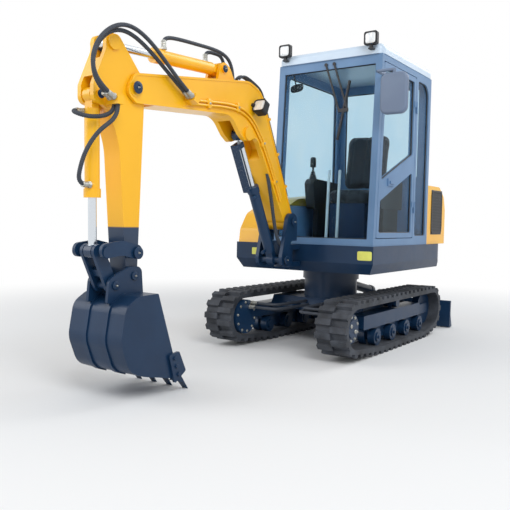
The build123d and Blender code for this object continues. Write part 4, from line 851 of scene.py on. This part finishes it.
makePipes(pipes)
topHoses = {
    "radius": 0.011, "thinner": 0.35, "sides": (0.05, 0.077), "wave": 0.06, "pitch": 0.012,
    "route": ((1.04, 0.640), (1.02, 0.69), (0.95, 0.712), (0.86, 0.722), (0.77, 0.728), (0.70, 0.67),
              (0.45, 0.466), (0.22, 0.28), (0.1, 0.181)),
    "clip": ((0, 0.016), (0.8, 0.016), (1, 0.01), (1, -0.014), (0, -0.014)),
    "clips": ((0.60, 0.579), (0.38, 0.401), (0.17, 0.23)), "clipY": 0.063, "clipHalves": (0.034, 0.011),
    "slope": (0.777, 0.63),
}


def makeTopHoses(spec):
    # a hose and a cable along the boom's back edge, held by clips square to its slope
    for i, y in enumerate(spec["sides"]):
        path = splinePath([onBoom(x, z, y) for x, z in spec["route"]], 260)
        tube(f"boomTopHose{i}", path, spec["radius"] * (1 - spec["thinner"] * i), 12, "hose_cover", "boom",
             wave=spec["wave"], pitch=spec["pitch"])
    run, rise = spec["slope"]
    out, up = turned((-rise, run), boomAngle), turned((run, rise), boomAngle)
    for i, (x, z) in enumerate(spec["clips"]):
        plate(f"hoseClip{i}", spec["clip"], onBoom(x, z, spec["clipY"]), out, up, spec["clipHalves"], 6, 32,
              "yellow_paint", "boom")


makeTopHoses(topHoses)
lampCable = {"radius": 0.0045, "route": ((0.775, 0.56, 0.12), (0.73, 0.57, 0.125), (0.70, 0.61, 0.10),
                                         (0.705, 0.655, 0.088), (0.72, 0.69, 0.085))}
tube("boomLampCable", splinePath([onBoom(*p) for p in lampCable["route"]], 80), lampCable["radius"], 10,
     "hose_cover", "boom")

bucketHoses = {"radius": 0.012, "lean": -90.79, "ports": ((0.095, -0.026), (0.4995, 0.026)), "portTop": 0.067,
               "rise": 0.07}


def makeBucketHoses(spec):
    # the arm's block feeds the bucket cylinder's two ports, the longer hose down its front
    root, lean = places["bucket_barrel"], spec["lean"]
    for i, port in enumerate(portSpots(root, spec, 0.01)):
        out = port + turned((0, spec["rise"]), lean)
        start = armHoseEnds(armHoses, i)[1] + vec(0, 0, -0.02)
        if i == 0:
            route = [start, start + vec(0, 0, -0.05), start + vec(0.09, -0.03, -0.09),
                     out + vec(0.01, 0.06, -0.03), out, port]
        else:
            route = [start, start + vec(0, 0, -0.08), start + vec(0.1, -0.01, -0.13),
                     out + vec(-0.01, 0.06, 0.2), out + vec(0.005, 0.02, 0.08), out, port]
        path = splinePath(route, 240)
        tube(f"bucketHose{i}", path, spec["radius"], 14, "hose_cover", "bucket_barrel", **sheath)
    collars("bucketBarrel", portSpots(root, spec, 0.014), turned((0, 1), lean), "bucket_barrel")


makeBucketHoses(bucketHoses)
print("pipes made")


def sheet(name, front, back, materialName, body):
    # closed slab between two grids of the same shape, with a wall of quads round the rim
    rows, cols = front.shape[:2]
    count = rows * cols
    quads = gridQuads(rows, cols, False)
    rim = np.concatenate([np.arange(cols), np.arange(1, rows) * cols + cols - 1,
                          (rows - 1) * cols + np.arange(cols - 2, -1, -1), np.arange(rows - 2, 0, -1) * cols])
    walls = np.stack([rim, np.roll(rim, -1), np.roll(rim, -1) + count, rim + count], 1)
    faces = np.concatenate([quads, quads[:, ::-1] + count, walls])
    makePiece(name, np.stack([front, back]), faces, materialName, body)


# louvred inserts in the engine bay's sides
grille = {"x": (-1.060, -0.760), "z": (0.965, 1.385), "face": 0.6405, "louvres": 15, "depth": 0.007,
          "power": 8, "border": 0.09, "soft": 0.03, "edge": 0.02}


def makeGrille(spec):
    # height over the side face: saw-tooth louvres that die out towards a rounded, raised rim
    u, v = np.meshgrid(np.linspace(-1, 1, 61), np.linspace(-1, 1, 241), indexing="ij")
    edge = 1 - (np.abs(u) ** spec["power"] + np.abs(v) ** spec["power"]) ** (1 / spec["power"])
    phase = (v + 1) / 2 * spec["louvres"] % 1
    inside = np.clip((edge - spec["border"]) / spec["soft"], 0, 1)
    high = spec["depth"] * ((0.25 + 0.75 * phase) * inside + (1 - inside) * np.clip(edge / spec["edge"], 0, 1))
    x = np.mean(spec["x"]) + u * np.ptp(spec["x"]) / 2
    z = np.mean(spec["z"]) + v * np.ptp(spec["z"]) / 2
    for sign, side in ((1, "Left"), (-1, "Right")):
        front = np.stack([x, sign * (spec["face"] + high), z], -1)
        back = np.stack([x, np.full_like(x, sign * (spec["face"] - 0.001)), z], -1)
        sheet(f"grille{side}", front, back, "black_plastic", "house")


makeGrille(grille)

# small pieces inside the cab
boots = {"spots": ((0.120, -0.1425, 1.440), (0.120, 0.4875, 1.440)), "height": 0.075, "base": 0.036,
         "taper": 0.022, "ripple": 0.0045, "folds": 4.5}


def makeBoots(spec):
    # rubber bellows: radius falls from base to neck with a ripple along the height
    s = np.linspace(0, 1, 61)
    radius = spec["base"] - spec["taper"] * s + spec["ripple"] * np.cos(2 * np.pi * spec["folds"] * s)
    folds = np.stack([radius, spec["height"] * s], 1)
    profile = np.concatenate([[(0, -0.004)], folds, [(0, spec["height"])]])
    revolved("leverBoots", profile, spec["spots"], (0, 0, 1), 32, "track_rubber", "house")


makeBoots(boots)
innerMirror = {"centre": (0.40, -0.16, 2.20), "halves": (0.085, 0.034), "out": (-0.94, 0.34, 0),
               "stalkRadius": 0.006,
               "shell": ((0, -0.014), (0.7, -0.012), (0.95, -0.006), (1, 0.0), (0.95, 0.003), (0, 0.003)),
               "stalk": ((0.006, 0, 0), (0.03, 0.0, 0.05), (0.03, -0.02, 0.12), (0.035, -0.02, 0.19))}
plate("innerMirrorShell", innerMirror["shell"], innerMirror["centre"], innerMirror["out"], (0, 0, 1),
      innerMirror["halves"], 3, 56, "black_plastic", "house")
tube("innerMirrorStalk", splinePath(vec(*innerMirror["centre"]) + np.array(innerMirror["stalk"]), 60),
     innerMirror["stalkRadius"], 10, "black_plastic", "house")

floorMat = {"x": (0.16, 0.49), "y": (-0.245, 0.59), "z": 0.8755, "thick": 0.006, "ribs": 28,
            "ribHeight": 0.003}


def makeMat(spec):
    # ribbed floor mat: height follows a cosine across the ribs
    x, y = np.linspace(*spec["x"], 8), np.linspace(*spec["y"], spec["ribs"] * 8 + 1)
    u, v = np.meshgrid(x, y, indexing="ij")
    share = (v - spec["y"][0]) / np.ptp(spec["y"])
    top = spec["z"] + spec["thick"] + spec["ribHeight"] * np.cos(2 * np.pi * spec["ribs"] * share)
    flat = np.full_like(u, spec["z"])
    sheet("floorMat", np.stack([u, v, top], -1), np.stack([u, v, flat], -1), "track_rubber", "house")


makeMat(floorMat)
print("small pieces made")


# seat: two foam pads swollen by cloth pressure, with sewn channels drawn in afterwards
seat = {
    "y": 0.1725, "shrink": 0.013, "power": 6, "fill": 0.75,
    "voxel": 0.007, "pressure": 4.0, "frames": 20, "cap": 0.024,
    "channel": 0.007, "channelWidth": 0.009, "channels": (-0.125, 0.0, 0.125),
    "pads": {"seatCushion": ((-0.105, 1.285), (0.225, 0.230, 0.055), 0.0),
             "seatBack": ((-0.3275, 1.615), (0.049, 0.230, 0.275), -0.172)},
}


def padStart(spec, centre, halves, lean):
    # rounded box |x/a|^6 + |y/b|^6 + |z/c|^6 = 1 on a grid of two angles, leant back with height
    half = vec(*halves) - spec["shrink"]
    turns = np.linspace(0, 2 * np.pi, 120, endpoint=False)
    p, q = np.meshgrid(np.linspace(-np.pi / 2, np.pi / 2, 61), turns, indexing="ij")
    way = np.stack([np.cos(p) * np.cos(q), np.cos(p) * np.sin(q), np.sin(p)], -1)
    size = (np.abs(way / half) ** spec["power"]).sum(-1, keepdims=True) ** (-1 / spec["power"])
    points = way * size
    points[..., 0] += lean * points[..., 2]
    return points + vec(centre[0], spec["y"], centre[1])


def swell(piece, spec):
    # cloth pressure with no gravity; how far a point may move is capped
    mesh = piece.data
    start = np.empty(len(mesh.vertices) * 3)
    mesh.vertices.foreach_get("co", start)
    cloth = piece.modifiers.new("swell", "CLOTH")
    cloth.settings.use_pressure = True
    cloth.settings.uniform_pressure_force = spec["pressure"]
    cloth.settings.effector_weights.gravity = 0
    for step in range(1, spec["frames"] + 1):
        scene.frame_set(step)
    shaped = piece.evaluated_get(bpy.context.evaluated_depsgraph_get()).to_mesh()
    end = np.empty(len(start))
    shaped.vertices.foreach_get("co", end)
    piece.modifiers.remove(cloth)
    scene.frame_set(1)
    move = (end - start).reshape(-1, 3)
    far = np.linalg.norm(move, axis=1, keepdims=True)
    move *= np.minimum(1, spec["cap"] / np.maximum(far, 1e-9))
    return start.reshape(-1, 3) + move


def readPoints(mesh, what="co"):
    flat = np.empty(len(mesh.vertices) * 3)
    mesh.vertices.foreach_get(what, flat)
    return flat.reshape(-1, 3)


def makeSeat(spec):
    for name, (centre, halves, lean) in spec["pads"].items():
        points = padStart(spec, centre, halves, lean)
        pad = makePiece(name, points, gridQuads(*points.shape[:2]), "seat_cover")
        voxel = pad.modifiers.new("even", "REMESH")
        voxel.mode = "VOXEL"
        voxel.voxel_size = spec["voxel"]
        even = bpy.data.meshes.new_from_object(pad.evaluated_get(bpy.context.evaluated_depsgraph_get()))
        pad.modifiers.remove(voxel)
        pad.data = even
        pad.data.materials.clear()
        pad.data.materials.append(materials["seat_cover"])
        placed = swell(pad, spec)
        # sewn channels: the cover is drawn in along three lines by a bell curve of the distance to each
        pad.data.vertices.foreach_set("co", placed.ravel())
        pad.data.update()
        aside = placed[:, 1] - spec["y"]
        pull = sum(np.exp(-((aside - line) / spec["channelWidth"]) ** 2) for line in spec["channels"])
        placed = placed - spec["channel"] * np.clip(pull, 0, 1)[:, None] * readPoints(pad.data, "normal")
        pad.data.vertices.foreach_set("co", placed.ravel())
        pad.data.polygons.foreach_set("use_smooth", np.ones(len(pad.data.polygons), bool))
        pad.data.update()
        soft = pad.modifiers.new("soften", "SUBSURF")
        soft.levels = soft.render_levels = 1
        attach(pad, "house")
        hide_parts("seat")


makeSeat(seat)
print("seat made")


# floor and light
studio = {
    "floor": (232, 234, 236),
    "clear": (2.6, 6.5),      # distance over which the floor runs out into white
    "sky": 0.5,
    "aim": (0.8, 0, 1.1),
    "lamps": {      # place, size and power of each
        "keyLamp": ((6, 6.5, 7.5), 5.0, 520),
        "fillLamp": ((7, -6, 5), 6.0, 270),
        "backLamp": ((-6, 3, 7), 5.0, 240),
    },
}


def makeStudio(spec):
    bpy.ops.mesh.primitive_plane_add(size=60, location=(0, 0, 0))
    floor = bpy.context.object
    floor.name = "studioFloor"
    m, tree, shader = newMaterial("studioFloor")
    shader.inputs["Base Color"].default_value = srgb(*spec["floor"])
    shader.inputs["Roughness"].default_value = 0.9
    # away from the machine the floor runs out into the plain white of the background
    coord = tree.nodes.new("ShaderNodeTexCoord")
    far = tree.nodes.new("ShaderNodeVectorMath")
    far.operation = "LENGTH"
    tree.links.new(coord.outputs["Object"], far.inputs[0])
    fade = tree.nodes.new("ShaderNodeMapRange")
    fade.interpolation_type = "SMOOTHSTEP"
    fade.inputs["From Min"].default_value, fade.inputs["From Max"].default_value = spec["clear"]
    tree.links.new(far.outputs["Value"], fade.inputs["Value"])
    white = tree.nodes.new("ShaderNodeEmission")
    blend = tree.nodes.new("ShaderNodeMixShader")
    tree.links.new(fade.outputs["Result"], blend.inputs["Fac"])
    tree.links.new(shader.outputs[0], blend.inputs[1])
    tree.links.new(white.outputs[0], blend.inputs[2])
    tree.links.new(blend.outputs[0], tree.nodes["Material Output"].inputs["Surface"])
    floor.data.materials.append(m)
    for name, (place, size, power) in spec["lamps"].items():
        data = bpy.data.lights.new(name, "AREA")
        data.size = size
        data.energy = power
        lamp = bpy.data.objects.new(name, data)
        lamp.location = place
        lamp.rotation_mode = "QUATERNION"
        lamp.rotation_quaternion = (Vector(spec["aim"]) - Vector(place)).to_track_quat("-Z", "Y")
        scene.collection.objects.link(lamp)
    world = bpy.data.worlds.new("studioSky")
    world.use_nodes = True
    tree = world.node_tree
    background = tree.nodes["Background"]
    background.inputs["Color"].default_value = (1, 1, 1, 1)
    path = tree.nodes.new("ShaderNodeLightPath")
    seen = tree.nodes.new("ShaderNodeMath")
    seen.operation = "MAXIMUM"
    tree.links.new(path.outputs["Is Camera Ray"], seen.inputs[0])
    shiny = tree.nodes.new("ShaderNodeMath")
    shiny.operation = "MAXIMUM"
    tree.links.new(path.outputs["Is Glossy Ray"], shiny.inputs[0])
    tree.links.new(path.outputs["Is Transmission Ray"], shiny.inputs[1])
    tree.links.new(shiny.outputs[0], seen.inputs[1])
    level = tree.nodes.new("ShaderNodeMapRange")
    level.inputs["To Min"].default_value = spec["sky"]
    level.inputs["To Max"].default_value = 1.0
    tree.links.new(seen.outputs[0], level.inputs["Value"])
    tree.links.new(level.outputs["Result"], background.inputs["Strength"])
    scene.world = world


makeStudio(studio)
print("studio ready")
